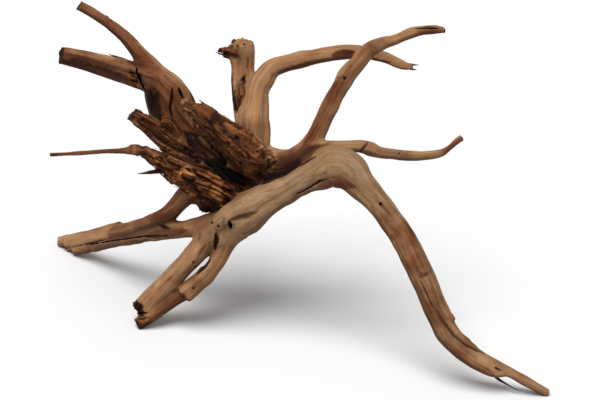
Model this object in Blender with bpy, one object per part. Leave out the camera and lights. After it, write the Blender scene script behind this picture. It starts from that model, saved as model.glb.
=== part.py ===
"""Root driftwood for an aquarium: one grown piece of wood that stands on three of its own limb ends.

Every limb is a closed tube, carried along a smooth path through hand-picked knots. The tubes are
fused into one skin, its forks are rounded by a formula, and the skin is thinned. Splinters, torn
fibres and broken stumps are then joined to it, and the floor plane trims the three feet flat.
"""
import math
from dataclasses import dataclass

import bmesh
import bpy
import numpy as np

# Driving sizes, in metres, and the tracing that they scale: its span is so many units wide
MILLIMETRE = 0.001
SPAN = 0.425
TRACED_SPAN = 500.0
UNIT = SPAN / TRACED_SPAN

# Where the tracing was seen from, and where its centre lies
EYE_DISTANCE = 1.4
EYE_HEIGHT_ANGLE = math.radians(26)
EYE_ROLL = math.radians(5)
TRACING_CENTRE = (300.0, 200.0)
CENTRE_HEIGHT = 0.118
CENTRE_SHIFT = (0.0, -0.006)

# How finely the wood is worked
PATH_STEP = 0.003
SIDES = 20
SKIN_CELL = 0.0018
FORK_ROUNDING = 0.0022
ROUNDING_PASSES = 4
ROUNDING_REACH = 0.002
SKIN_TRIANGLES = 8600
DEEPEST = -0.02
FARTHEST = 0.05
SHARP_EDGE = math.radians(45)

# Lobes round a limb: height, waves round it, phase steps, and winding in radians a metre
SOFT_LOBES = ((0.55, 2.0, 1, 9.0), (0.30, 3.0, 2, -14.0))
SHARP_LOBES = ((0.85, 1.5, 1, 5.0), (0.55, 3.5, 3, -8.0))
PHASE_STEP = 1.7
MEAN_OF_WAVE_SIZE = 2 / math.pi

# A splinter's section and profile: shares of its half-width, and how they change along it
SPLINTER_SIDES = 5
SPLINTER_RINGS = 6
SPLINTER_ROOT = 0.45
SPLINTER_SWELLING = 3.2
SPLINTER_TAPER = 0.88
SPLINTER_TAPER_POWER = 1.6
SPLINTER_THICKNESS = 0.75

# How torn fibres vary: share of length lost, scatter of tips in tracing units, share of width
FIBRE_SEED = 25
FIBRE_SHORTENING = (-0.12, 0.30)
FIBRE_SCATTER = 1.6
FIBRE_WIDTHS = (0.75, 1.2)

WOOD_COLOUR = (0.30, 0.185, 0.105, 1.0)
WOOD_ROUGHNESS = 0.82

# The way the eye looks, from which each knot's distance away is measured
AWAY = np.array([0.0, math.cos(EYE_HEIGHT_ANGLE), -math.sin(EYE_HEIGHT_ANGLE)])


@dataclass
class Limb:
    """A limb's knots (right, down, millimetres away, half-width), its thickness and its fluting.

    Right, down and half-width are in tracing units. The depth is the limb's thickness along the
    line of sight as a share of its width, and the fluting is the height of its lengthwise lobes as
    a share of its half-width.
    """

    knots: list
    depth: float = 1.0
    fluting: float = 0.13


LIMBS = {
    "front_limb": Limb([
        (209, 237, 0, 8), (222, 228, -6, 14.5), (245, 212.5, -12, 19), (264.5, 199.5, -18, 15.5),
        (285, 190, -24, 13.4),
        (303, 180, -30, 12.8), (319, 173, -35, 16.3), (334, 166, -39, 20.6), (348.5, 171.5, -42, 19.6),
        (360.5, 183.5, -44, 15.2), (375, 199.5, -45, 12.6), (390, 219, -45, 12.0),
        (404, 239, -45, 12.8), (416.5, 264, -44, 12.9), (427.5, 288.5, -43, 12.6),
        (437, 311.5, -41, 12.2), (448, 332.5, -39, 12.2), (460.5, 346.5, -37, 11.3),
        (477.5, 359, -35, 10.5), (495, 368, -33, 9.5), (509, 371, -32, 5.8), (524, 379, -31, 5.4),
        (537, 386.5, -28, 5.3), (548, 392.5, -25, 4.2),
    ]),
    "right_root": Limb([
        (235, 150, 0, 20), (255, 160, 0, 18), (275, 163, -4, 14.5), (290, 161, -9, 12),
        (305, 155, -14, 11), (320, 149, -19, 8.5), (335, 147, -24, 6.8), (350, 146, -25, 6.2),
        (362, 146.5, -21, 7), (371, 148.5, -15, 7.5), (380, 151.7, -7, 6.7), (395, 153.9, 3, 5.6),
        (410, 155, 12, 5.3), (425, 155, 19, 4.7), (440, 152.5, 25, 4), (449, 147.5, 28, 3.2),
        (456, 141.5, 30, 3.1), (462, 137, 32, 3.0),
    ]),
    "crown_core": Limb([
        (225, 212, 4, 14), (229, 197, 12, 15), (236, 180, 16, 16), (245, 163, 16, 16),
        (256, 150, 10, 15),
    ]),
    "crown_back": Limb([
        (262, 172, 12, 15), (240, 165, 24, 17), (215, 155, 24, 18), (195, 140, 18, 17),
        (180, 124, 12, 15),
    ]),
    "crown_side": Limb([
        (186, 128, 16, 14), (190, 148, 20, 15), (197, 168, 20, 15), (205, 188, 12, 14),
        (212, 205, 4, 12),
    ]),
    "arch_back": Limb([
        (270, 178, -4, 12), (292, 172, -12, 11), (312, 164, -21, 11), (330, 158, -30, 13),
    ]),
    "tall_limb": Limb([
        (300, 158, -11, 9), (310.5, 144, -13, 9.4), (320.5, 128, -16, 8.8), (331, 105, -20, 8.8),
        (340, 88, -24, 9), (348.6, 73, -28, 9), (360, 60.5, -34, 8), (370, 49.5, -38, 7.5),
        (383, 43, -43, 6.2), (395, 39.5, -47, 4.9), (408, 34.3, -51, 5.3), (420, 30.5, -54, 4.8),
        (432, 29, -57, 4.4), (441, 29, -59, 3.4), (445.5, 30.3, -60, 1.6),
    ]),
    "bent_limb": Limb([
        (248, 150, 2, 20), (254.5, 135, 0, 15.5), (254.5, 120, -2, 14), (256.7, 105, -2, 11.7),
        (259, 90, -2, 10.3), (264, 78.5, -1, 10.5), (271.5, 68.6, 0, 9.4), (283, 63.7, 3, 8.3),
        (300, 59.5, 6, 8), (320, 54.7, 10, 7.2), (340, 51.8, 13, 7.3), (355, 51, 15, 6.7),
        (370, 52.6, 17, 6), (382, 55.4, 18, 5.2), (395, 61, 20, 4.9), (405, 65, 22, 3.8),
        (413, 66.5, 23, 2.4),
    ]),
    "knob_stub": Limb([
        (250, 128, 8, 12), (245, 108, 10, 11), (243.2, 90, 12, 10.3), (243.3, 75, 12, 11.6),
        (243.3, 60, 11, 12.6), (241.8, 48, 10, 14), (239.5, 38.5, 9, 13.2),
    ]),
    "knob_nub": Limb([(234, 52, 6, 6), (226, 51, 3, 4.8), (219.5, 49.5, 1, 2.8)]),
    "upper_ridge": Limb([
        (205, 142, 2, 17), (191, 123, 0, 13.4), (182.5, 103, -4, 13.4), (171, 86.5, -6, 12.3),
        (156.5, 73, -8, 9.8), (145.8, 60.5, -10, 7.9), (137.5, 50.8, -11, 6.7), (130, 41.5, -12, 6.2),
        (120, 32.3, -13, 5.5), (110, 24, -14, 4.8), (100, 17, -15, 4.4), (90, 10.5, -16, 4.4),
        (79.5, 4.6, -17, 4.6),
    ], fluting=0.14),
    "upper_hollow": Limb([
        (190, 140, 6, 16), (172, 118, 6, 18), (163, 100, 4, 16), (157, 84, 0, 12),
    ], fluting=0.14),
    "left_stub": Limb([
        (155, 80, -4, 12), (140, 75, -10, 12.5), (127, 71, -17, 12), (110, 66, -24, 11.5),
        (90, 60.2, -31, 11), (75, 56.8, -36, 10), (61, 54.8, -40, 8.8),
    ]),
    "plank": Limb([
        (195, 155, 0, 15), (178, 147, -6, 14), (163.5, 136.5, -12, 11), (151.5, 127.8, -17, 9.2),
        (141.5, 120.5, -21, 8.2), (132.5, 114, -24, 6.6),
    ], depth=0.8, fluting=0.15),
    "heart_bridge": Limb([
        (176, 132, 4, 13), (190, 145, -2, 14), (205, 157, -2, 14), (220, 170, -2, 12),
        (236, 186, -2, 9),
    ], fluting=0.16),
    "curled_knot": Limb([
        (183, 142, -10, 3.5), (178, 136, -14, 3.5), (174, 127, -20, 4), (169, 120.5, -22, 3.5),
        (161, 120, -22, 2.2),
    ]),
    "slab": Limb([
        (272, 168, -8, 13), (255, 158, -14, 19), (238, 143, -18, 19), (221, 129.5, -20, 14.6),
        (208.5, 116.5, -20, 10.6), (199, 107, -20, 7.6),
    ], depth=0.75, fluting=0.15),
    "slab_tooth": Limb([(215, 118, -22, 6), (199, 108, -24, 4.5), (184, 103, -26, 3.2)]),
    "torn_mass": Limb([
        (246, 206, 2, 12), (224, 192, -4, 15.5), (205, 182, -8, 16.4), (185, 173, -14, 14),
        (168, 164, -20, 11), (154, 156, -24, 7.5), (143, 150.5, -26, 5), (132, 148.7, -28, 3),
    ], depth=0.85, fluting=0.18),
    "twig": Limb([
        (137, 149, -27, 3.4), (120, 150.4, -29, 2.6), (105, 150.8, -31, 2.3), (80, 152.6, -34, 2),
        (50, 154.2, -38, 1.9),
    ]),
    "lower_arm": Limb([
        (206, 188, 2, 11), (190, 192, 6, 11), (178.5, 204, 14, 9.2), (168, 213.5, 24, 8.4),
        (150, 221, 38, 7), (130, 228, 58, 6), (110, 232, 80, 5.5),
    ]),
    "left_limb": Limb([
        (225, 222, 0, 12), (210, 224, 6, 10), (195, 226.3, 14, 9.3), (180, 228.5, 24, 8.4),
        (160, 230, 42, 9.8), (140, 230.8, 62, 10.6), (120, 234.2, 83, 9.4), (100, 238.7, 103, 8),
        (85, 241.8, 121, 7.4), (71, 244.2, 136, 7),
    ]),
    "left_limb_top": Limb([
        (120, 228, 80, 6), (100, 233.5, 101, 5.5), (80, 238, 123, 5.2), (61, 242, 142, 5.2),
    ]),
    "left_limb_under": Limb([
        (140, 237, 62, 4.4), (118, 241, 84, 4.6), (98, 246, 106, 4.6), (76, 250.5, 127, 4.2),
    ]),
    "front_stub": Limb([
        (222, 226, -4, 13), (212, 234, 0, 13), (204, 243.8, 4, 12.3), (193, 256, 8, 11.4),
        (179.7, 270.4, 13, 10.5), (164.3, 285.8, 18, 10.2), (150.5, 299.5, 22, 10.4),
        (140.8, 310.8, 25, 10.8),
    ]),
    "second_stub": Limb([
        (236, 226, -8, 11), (229, 238, -6, 9.3), (223, 250, -3, 8.4), (216, 263, 0, 7.6),
        (207, 275, 4, 7.3), (197, 284, 7, 7.2), (185, 294.2, 10, 7.6),
    ]),
    "under_stub": Limb([
        (207, 272, 7, 5), (197, 283, 10, 5.5), (184, 294, 14, 5.6), (170, 303.5, 18, 5.6),
        (155, 314, 19, 5.8), (137.8, 324.6, 20, 5.8),
    ]),
}

# Single splinters: (right, down, millimetres away) of the root and the tip, half-width at the root,
# all but the distance away in tracing units
SPLINTERS = {
    "foot_splinter": ((487, 371.5, -33), (521.5, 391.2, -30), 3.6),
    "bent_tip_upper": ((404, 63.5, 21), (420, 64.6, 24), 2.2),
    "bent_tip_lower": ((404, 66.5, 21), (417.5, 69.4, 24), 2.0),
    "knob_thorn": ((231, 57, 4), (215.5, 51.6, 0), 2.6),
    "slab_spike": ((222, 118, -14), (199.5, 99.2, -18), 4.0),
    "crown_spike": ((166, 170, -18), (140, 173.2, -24), 3.0),
    "limb_thorn": ((262, 224, -14), (256, 232.5, -16), 3.0),
    "stub_thorn": ((226, 240, -10), (232, 247.5, -13), 2.6),
    "bark_step": ((130, 61, -14), (109, 53.6, -20), 2.6),
    "bark_tooth": ((145, 66, -8), (134, 56.5, -12), 3.2),
    "ridge_nub": ((154, 68, -7), (160.5, 63.5, -9), 2.6),
    "upper_nub": ((110, 21, -14), (107.2, 14.2, -14), 2.2),
    "tall_bud": ((325, 110, -8), (318.5, 108, -8), 2.8),
}

# Torn fibres side by side: the line of their roots, the line of their tips, how many, half-width
FIBRE_BUNDLES = {
    "heart_front": ((228, 176, -12), (214, 199, -12), (148, 157, -32), (165, 183, -25), 9, 4.4),
    "heart_back": ((214, 186, -6), (205, 198, -2), (157, 179, -18), (176, 191, -10), 4, 3.8),
    "heart_hair": ((206, 190, -8), (214, 196, -8), (203, 207, -12), (211, 208, -12), 2, 1.6),
    "slab_face": ((252, 134, -25), (230, 156, -27), (201, 99, -28), (187, 113, -28), 6, 4.6),
    "plank_face": ((190, 142, -9), (174, 154, -11), (139, 109, -29), (130, 121, -30), 5, 4.0),
    "stub_tear": ((152, 78, -12), (148, 86, -10), (130, 83, -18), (135, 93, -17), 3, 2.2),
    "front_stub_tear": ((156, 292, 18), (160, 303, 20), (132, 303, 23), (136, 318, 26), 3, 3.4),
}


def place(points):
    """Part-frame positions, and the scale there, of points given as right, down, millimetres away."""
    points = np.asarray(points, dtype=float)
    away = points[:, 2] * MILLIMETRE
    scale = 1.0 + away / EYE_DISTANCE
    right = (points[:, 0] - TRACING_CENTRE[0]) * UNIT * scale
    rise = (TRACING_CENTRE[1] - points[:, 1]) * UNIT * scale
    across = right * math.cos(EYE_ROLL) - rise * math.sin(EYE_ROLL)
    up = right * math.sin(EYE_ROLL) + rise * math.cos(EYE_ROLL)
    x = across + CENTRE_SHIFT[0]
    y = up * math.sin(EYE_HEIGHT_ANGLE) + away * math.cos(EYE_HEIGHT_ANGLE) + CENTRE_SHIFT[1]
    z = up * math.cos(EYE_HEIGHT_ANGLE) - away * math.sin(EYE_HEIGHT_ANGLE) + CENTRE_HEIGHT
    return np.stack([x, y, z], axis=1), scale


def smooth_curve(knots):
    """Samples about a path step apart on the Catmull-Rom curve through the knots."""
    knots = np.asarray(knots, dtype=float)
    padded = np.vstack([2 * knots[0] - knots[1], knots, 2 * knots[-1] - knots[-2]])
    pieces = []
    for before, start, end, after in zip(padded, padded[1:], padded[2:], padded[3:]):
        length = np.linalg.norm((end - start)[:2]) * UNIT
        count = max(2, math.ceil(length / PATH_STEP))
        t = np.linspace(0.0, 1.0, count, endpoint=False)[:, None]
        pieces.append(0.5 * (2 * start + (end - before) * t
                             + (2 * before - 5 * start + 4 * end - after) * t ** 2
                             + (3 * start - before - 3 * end + after) * t ** 3))
    pieces.append(knots[-1:])
    return np.vstack(pieces)


class Path:
    """A limb's centre line with its frame and half-widths, ready to sweep or to measure from."""

    def __init__(self, limb, number):
        samples = smooth_curve(limb.knots)
        self.points, scale = place(samples[:, :3])
        self.half_width = samples[:, 3] * UNIT * scale
        tangent = np.gradient(self.points, axis=0)
        self.tangent = tangent / np.linalg.norm(tangent, axis=1)[:, None]
        side = np.cross(AWAY, self.tangent)
        self.side = side / np.linalg.norm(side, axis=1)[:, None]
        self.deep = np.cross(self.tangent, self.side)
        steps = np.linalg.norm(np.diff(self.points, axis=0), axis=1)
        self.run = np.concatenate([[0.0], np.cumsum(steps)])
        self.depth = limb.depth
        self.fluting = limb.fluting
        self.phase = PHASE_STEP * number

    def swell(self, turn, run):
        """Share by which lengthwise lobes lift the surface.

        Two soft waves round the limb, plus the size of two more waves, whose crossings of zero
        leave sharp grooves. All wind slowly round the limb as they run along it.
        """
        lobes = 0.0
        for height, waves, steps, winding in SOFT_LOBES:
            lobes = lobes + height * np.cos(waves * turn + steps * self.phase + winding * run)
        for height, waves, steps, winding in SHARP_LOBES:
            wave = np.abs(np.cos(waves * turn + steps * self.phase + winding * run))
            lobes = lobes + height * (wave - MEAN_OF_WAVE_SIZE)
        return 1.0 + self.fluting * lobes

    def rings(self):
        """The swept surface as rings of points, one ring for each sample of the path."""
        turn = np.linspace(0.0, 2 * math.pi, SIDES, endpoint=False)
        radius = self.half_width[:, None] * self.swell(turn[None, :], self.run[:, None])
        out = (self.side[:, None, :] * np.cos(turn)[None, :, None]
               + self.deep[:, None, :] * self.depth * np.sin(turn)[None, :, None])
        return self.points[:, None, :] + out * radius[:, :, None]

    def clearance(self, spots):
        """Distance from each spot to this limb's surface, negative inside, past its ends too."""
        gap = ((spots[:, None, :] - self.points[None, :, :]) ** 2).sum(axis=2)
        near = gap.argmin(axis=1)
        offset = spots - self.points[near]
        along = (offset * self.tangent[near]).sum(axis=1)
        across = (offset * self.side[near]).sum(axis=1)
        behind = (offset * self.deep[near]).sum(axis=1) / self.depth
        turn = np.arctan2(behind, across)
        slope = np.gradient(self.half_width, self.run)
        radius = (self.half_width[near] + slope[near] * along) * self.swell(turn, self.run[near] + along)
        beyond = np.full(len(spots), -1.0)
        beyond = np.where(near == 0, -along, beyond)
        beyond = np.where(near == len(self.points) - 1, along, beyond)
        return np.maximum(np.hypot(across, behind) - radius, beyond)


def new_object(name, vertices, faces):
    """A mesh object in the scene made from vertices and faces."""
    mesh = bpy.data.meshes.new(name)
    mesh.from_pydata([tuple(vertex) for vertex in vertices], [], faces)
    mesh.update()
    made = bpy.data.objects.new(name, mesh)
    bpy.context.scene.collection.objects.link(made)
    return made


def tube(name, rings):
    """A closed tube: rings joined by quads, with a flat cap on both ends, facing outward."""
    count, sides = rings.shape[:2]
    faces = []
    for ring in range(count - 1):
        for side in range(sides):
            after = (side + 1) % sides
            faces.append((ring * sides + side, ring * sides + after,
                          (ring + 1) * sides + after, (ring + 1) * sides + side))
    faces.append(tuple(reversed(range(sides))))
    faces.append(tuple(range((count - 1) * sides, count * sides)))
    made = new_object(name, rings.reshape(-1, 3), faces)
    shape = bmesh.new()
    shape.from_mesh(made.data)
    bmesh.ops.recalc_face_normals(shape, faces=shape.faces)
    shape.to_mesh(made.data)
    shape.free()
    return made


def apply_modifiers(target):
    """Bake an object's modifiers into its mesh."""
    evaluated = target.evaluated_get(bpy.context.evaluated_depsgraph_get())
    baked = bpy.data.meshes.new_from_object(evaluated)
    target.modifiers.clear()
    target.data = baked


def fuse_limbs(paths):
    """One closed skin over all the limbs' tubes, on small even cells."""
    tubes = [tube(name, path.rings()) for name, path in paths.items()]
    skin = tubes[0]
    shape = bmesh.new()
    for piece in tubes:
        shape.from_mesh(piece.data)
    shape.to_mesh(skin.data)
    shape.free()
    for piece in tubes[1:]:
        bpy.data.objects.remove(piece)
    remesh = skin.modifiers.new("skin", "REMESH")
    remesh.mode = "VOXEL"
    remesh.voxel_size = SKIN_CELL
    apply_modifiers(skin)
    skin.name = "driftwood"
    return skin


def round_forks(skin, paths):
    """Move the skin onto a soft union of the limbs, which fills each fork with a small fillet.

    The soft union is minus k times the logarithm of the sum of exp(-clearance / k) over the limbs.
    """
    mesh = skin.data
    for _ in range(ROUNDING_PASSES):
        spots = np.empty(len(mesh.vertices) * 3)
        mesh.vertices.foreach_get("co", spots)
        spots = spots.reshape(-1, 3)
        normals = np.empty(len(mesh.vertices) * 3)
        mesh.vertex_normals.foreach_get("vector", normals)
        normals = normals.reshape(-1, 3)
        total = np.zeros(len(spots))
        for path in paths.values():
            total += np.exp(-np.clip(path.clearance(spots), DEEPEST, FARTHEST) / FORK_ROUNDING)
        gap = -FORK_ROUNDING * np.log(total)
        spots -= normals * np.clip(gap, -ROUNDING_REACH, ROUNDING_REACH)[:, None]
        mesh.vertices.foreach_set("co", spots.ravel())
        mesh.update()


def thin_skin(skin):
    """Fewer faces on the skin, where it is flattest first."""
    skin.data.calc_loop_triangles()
    decimate = skin.modifiers.new("thin", "DECIMATE")
    decimate.ratio = SKIN_TRIANGLES / len(skin.data.loop_triangles)
    apply_modifiers(skin)


def splinter_rings(root, tip, half_width):
    """Rings of a thin spike that swells from its root and then tapers to its tip."""
    ends, _ = place([root, tip])
    share = np.linspace(0.0, 1.0, SPLINTER_RINGS)[:, None]
    line = ends[0] + (ends[1] - ends[0]) * share
    along = (ends[1] - ends[0]) / np.linalg.norm(ends[1] - ends[0])
    side = np.cross(AWAY, along)
    side /= np.linalg.norm(side)
    deep = np.cross(along, side)
    turn = np.linspace(0.0, 2 * math.pi, SPLINTER_SIDES, endpoint=False)
    swelling = np.minimum(1.0, SPLINTER_ROOT + SPLINTER_SWELLING * share)
    radius = half_width * UNIT * swelling * (1.0 - SPLINTER_TAPER * share ** SPLINTER_TAPER_POWER)
    out = (side[None, :] * np.cos(turn)[:, None]
           + SPLINTER_THICKNESS * deep[None, :] * np.sin(turn)[:, None])
    return line[:, None, :] + out[None, :, :] * radius[:, :, None]


def splinters():
    """The single splinters and the torn fibres, each as its own closed spike."""
    draw = np.random.default_rng(FIBRE_SEED)
    made = [tube(name, splinter_rings(*ends)) for name, ends in SPLINTERS.items()]
    for root_a, root_b, tip_a, tip_b, count, half_width in FIBRE_BUNDLES.values():
        for share in (np.arange(count) + 0.5) / count:
            root = np.array(root_a) + np.subtract(root_b, root_a) * share
            tip = np.array(tip_a) + np.subtract(tip_b, tip_a) * share
            tip += (root - tip) * draw.uniform(*FIBRE_SHORTENING)
            tip += draw.uniform(-FIBRE_SCATTER, FIBRE_SCATTER, 3)
            width = half_width * draw.uniform(*FIBRE_WIDTHS)
            made.append(tube("fibre", splinter_rings(root, tip, width)))
    return made


def join_all(body, pieces):
    """Fuse the pieces to the body with one Boolean union."""
    group = bpy.data.collections.new("splinters")
    bpy.context.scene.collection.children.link(group)
    for piece in pieces:
        bpy.context.scene.collection.objects.unlink(piece)
        group.objects.link(piece)
    union = body.modifiers.new("join", "BOOLEAN")
    union.operation = "UNION"
    union.operand_type = "COLLECTION"
    union.collection = group
    union.solver = "MANIFOLD"
    apply_modifiers(body)
    for piece in pieces:
        bpy.data.objects.remove(piece)
    bpy.data.collections.remove(group)


def trim_feet(body):
    """Cut away what dips below the floor plane, which leaves the feet flat."""
    bpy.ops.mesh.primitive_cube_add(size=1.0, location=(0.0, 0.0, -0.5))
    floor = bpy.context.object
    cut = body.modifiers.new("floor", "BOOLEAN")
    cut.operation = "DIFFERENCE"
    cut.object = floor
    cut.solver = "MANIFOLD"
    apply_modifiers(body)
    bpy.data.objects.remove(floor)


def keep_largest(body):
    """Drop any loose scrap or sealed hollow that fusing left, and keep the wood itself."""
    shape = bmesh.new()
    shape.from_mesh(body.data)
    unseen = set(shape.verts)
    islands = []
    while unseen:
        island = []
        queue = [unseen.pop()]
        while queue:
            vertex = queue.pop()
            island.append(vertex)
            for edge in vertex.link_edges:
                other = edge.other_vert(vertex)
                if other in unseen:
                    unseen.remove(other)
                    queue.append(other)
        islands.append(island)
    islands.sort(key=len)
    for island in islands[:-1]:
        bmesh.ops.delete(shape, geom=island, context="VERTS")
    bmesh.ops.triangulate(shape, faces=shape.faces)
    shape.to_mesh(body.data)
    shape.free()


def wood_material():
    """Dry brown wood, dull all over."""
    material = bpy.data.materials.new("wood")
    material.use_nodes = True
    shader = material.node_tree.nodes["Principled BSDF"]
    shader.inputs["Base Color"].default_value = WOOD_COLOUR
    shader.inputs["Roughness"].default_value = WOOD_ROUGHNESS
    shader.inputs["Metallic"].default_value = 0.0
    return material


def main():
    """Build the wood from nothing else in the scene."""
    for left_over in list(bpy.data.objects):
        bpy.data.objects.remove(left_over)
    paths = {name: Path(limb, number) for number, (name, limb) in enumerate(LIMBS.items())}
    wood = fuse_limbs(paths)
    round_forks(wood, paths)
    thin_skin(wood)
    keep_largest(wood)
    join_all(wood, splinters())
    trim_feet(wood)
    keep_largest(wood)
    wood.data.materials.clear()
    wood.data.materials.append(wood_material())
    wood.data.shade_smooth()
    wood.data.set_sharp_from_angle(angle=SHARP_EDGE)


main()
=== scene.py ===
"""Looks of a piece of root driftwood: its fine skins, its torn fibres and the finishes of both.

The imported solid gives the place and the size. The same limbs are swept here again on finer cells,
fused into a sound skin and a torn one, and worked by formulas: soft forks, lengthwise ridges, broken
bundles, cracks, knots and pits. Torn fibres and splinters lie on them as thin tapering strips. All
lengths are in metres unless a name or a comment says otherwise, and traced spots are in the units of
a picture 600 wide and 400 high.
"""
from __future__ import annotations

import logging
import math
from collections.abc import Iterator
from contextlib import contextmanager
from dataclasses import dataclass, field
from enum import Enum
from pathlib import Path as FilePath

import bmesh
import bpy
import numpy as np
from bpy.types import Material, Mesh, NodeInputs, NodeSocket, NodeTree, Object
from mathutils import Matrix, Vector


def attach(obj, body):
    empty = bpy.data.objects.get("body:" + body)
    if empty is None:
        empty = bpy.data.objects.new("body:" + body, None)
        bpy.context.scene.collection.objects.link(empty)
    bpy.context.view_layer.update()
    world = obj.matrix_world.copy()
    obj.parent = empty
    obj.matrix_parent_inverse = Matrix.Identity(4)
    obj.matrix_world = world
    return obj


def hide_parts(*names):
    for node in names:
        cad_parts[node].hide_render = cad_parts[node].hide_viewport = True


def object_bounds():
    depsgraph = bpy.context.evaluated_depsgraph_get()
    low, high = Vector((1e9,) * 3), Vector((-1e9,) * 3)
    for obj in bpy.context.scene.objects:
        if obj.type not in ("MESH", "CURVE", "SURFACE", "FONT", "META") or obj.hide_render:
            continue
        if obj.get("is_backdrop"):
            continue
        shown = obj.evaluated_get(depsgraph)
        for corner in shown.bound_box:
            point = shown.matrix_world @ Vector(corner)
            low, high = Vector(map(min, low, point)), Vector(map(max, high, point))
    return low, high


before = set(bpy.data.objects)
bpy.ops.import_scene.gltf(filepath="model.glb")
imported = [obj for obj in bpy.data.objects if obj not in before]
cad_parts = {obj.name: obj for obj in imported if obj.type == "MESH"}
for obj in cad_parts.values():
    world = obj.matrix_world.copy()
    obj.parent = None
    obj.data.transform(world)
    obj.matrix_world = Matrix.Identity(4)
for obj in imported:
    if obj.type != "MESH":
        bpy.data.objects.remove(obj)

LOG = logging.getLogger("driftwood")
NODE = "driftwood"
BODY = "root"
MILLIMETRE = 0.001
# A spot counts as no further than this outside a limb, and no deeper than this inside it.
FAR = 0.05
DEEPEST = 0.02
# Each limb's run starts this much later than the last one's, so that no two show the same grain.
RUN_STEP = 0.37
MEAN_OF_WAVE_SIZE = 2 / math.pi

Spot = tuple[float, float]
Spot3 = tuple[float, float, float]
Cell = tuple[float, float, float]


class Tone(Enum):
    """What a stretch of wood looks like: shares of red, torn, rotten and grey wood over pale wood."""

    # Painted light: paler than pale wood, to make a limb look more brightly lit.
    BRIGHT = (-0.25, 0.0, 0.0, 0.0)
    PALE = (0.05, 0.0, 0.0, 0.0)
    ASH = (0.15, 0.0, 0.0, 0.62)
    TAN = (0.30, 0.0, 0.0, 0.2)
    WARM = (0.15, 0.35, 0.0, 0.0)
    BROWN = (0.55, 0.0, 0.05, 0.0)
    UMBER = (0.66, 0.0, 0.08, 0.45)
    RED = (0.90, 0.0, 0.10, 0.0)
    MAROON = (1.0, 0.0, 0.35, 0.0)
    DARK = (0.85, 0.15, 0.75, 0.0)
    TORN = (0.35, 1.0, 0.10, 0.0)
    GOLDEN = (0.0, 1.0, 0.0, 0.0)
    STRAW = (0.0, 0.62, 0.0, 0.0)
    ROTTEN = (0.60, 0.75, 0.45, 0.0)


class MarkKind(Enum):
    """How a mark is cut: the shape of its cross-section."""

    CRACK = "crack"
    GROOVE = "groove"
    PIT = "pit"
    RIDGE = "ridge"
    STAIN = "stain"
    SHRED = "shred"


# The tones and kinds by their own names, for the tables below.
BRIGHT, PALE, ASH, TAN, WARM, BROWN, UMBER, RED, MAROON, DARK, TORN, GOLDEN, STRAW, ROTTEN = Tone
CRACK, GROOVE, PIT, RIDGE, STAIN, SHRED = MarkKind


@dataclass(frozen=True)
class Sighting:
    """How a traced spot and its distance away become a place on the wood, and back.

    The eye looks along away, tilted down by height_angle and rolled by roll, from eye_distance.
    """

    span: float = 0.425
    traced_span: float = 500.0
    eye_distance: float = 1.4
    height_angle: float = math.radians(26)
    roll: float = math.radians(5)
    centre: Spot = (300.0, 200.0)
    centre_height: float = 0.118
    shift_back: float = -0.006
    picture_width: float = 600.0

    @property
    def unit(self) -> float:
        """Metres on the wood for one traced unit."""
        return self.span / self.traced_span

    @property
    def away(self) -> np.ndarray:
        """The direction in which the eye looks."""
        return np.array([0.0, math.cos(self.height_angle), -math.sin(self.height_angle)])

    @property
    def right(self) -> np.ndarray:
        """The picture's right-hand direction."""
        turn, tilt = self.roll, self.height_angle
        return np.array([math.cos(turn), math.sin(turn) * math.sin(tilt), math.sin(turn) * math.cos(tilt)])

    def place(self, traced: np.ndarray) -> tuple[np.ndarray, np.ndarray]:
        """Places of traced spots: each grows with its distance away, then is rolled and tilted.

        Args:
            traced: rows of right, down and millimetres away.

        Returns:
            The places, and the scale at each.
        """
        traced = np.asarray(traced, dtype=float)
        away = traced[:, 2] * MILLIMETRE
        scale = 1.0 + away / self.eye_distance
        right = (traced[:, 0] - self.centre[0]) * self.unit * scale
        rise = (self.centre[1] - traced[:, 1]) * self.unit * scale
        across = right * math.cos(self.roll) - rise * math.sin(self.roll)
        up = right * math.sin(self.roll) + rise * math.cos(self.roll)
        sine, cosine = math.sin(self.height_angle), math.cos(self.height_angle)
        y = up * sine + away * cosine + self.shift_back
        z = up * cosine - away * sine + self.centre_height
        return np.stack([across, y, z], axis=1), scale

    def sight(self, places: np.ndarray) -> np.ndarray:
        """Where the eye sees places: the inverse of place.

        Args:
            places: rows of places.

        Returns:
            Rows of traced right and down.
        """
        sine, cosine = math.sin(self.height_angle), math.cos(self.height_angle)
        y, z = places[:, 1] - self.shift_back, places[:, 2] - self.centre_height
        up, away = y * sine + z * cosine, y * cosine - z * sine
        right = places[:, 0] * math.cos(self.roll) + up * math.sin(self.roll)
        rise = up * math.cos(self.roll) - places[:, 0] * math.sin(self.roll)
        scale = self.unit * (1.0 + away / self.eye_distance)
        return np.stack([self.centre[0] + right / scale, self.centre[1] - rise / scale], axis=1)


SIGHTING = Sighting()


@dataclass(frozen=True)
class Limb:
    """One limb: knots of right, down, millimetres away and half-width, with its section and tone.

    Depth is how deep its section is as a share of its width, and fluting how strong its lengthwise
    lobes are. Roughness, shred and lump are the shares of sound grain, torn bundles and rotten lumps
    in its relief, and lump_share is how far along it the lumps reach. Sunk is the length in metres
    over which its buried start is rounded, and blunt the share of its half-width over which its far
    end is. The last field is how far painted shade from nearby limbs darkens it.
    """

    knots: tuple[tuple[float, float, float, float], ...]
    tone: Tone
    depth: float = 1.0
    fluting: float = 0.13
    roughness: float = 1.0
    shred: float = 0.0
    lump: float = 0.0
    lump_share: float = 1.0
    sunk: float = 0.0
    blunt: float = 0.0
    neighbour_shade: float = 1.0


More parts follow.
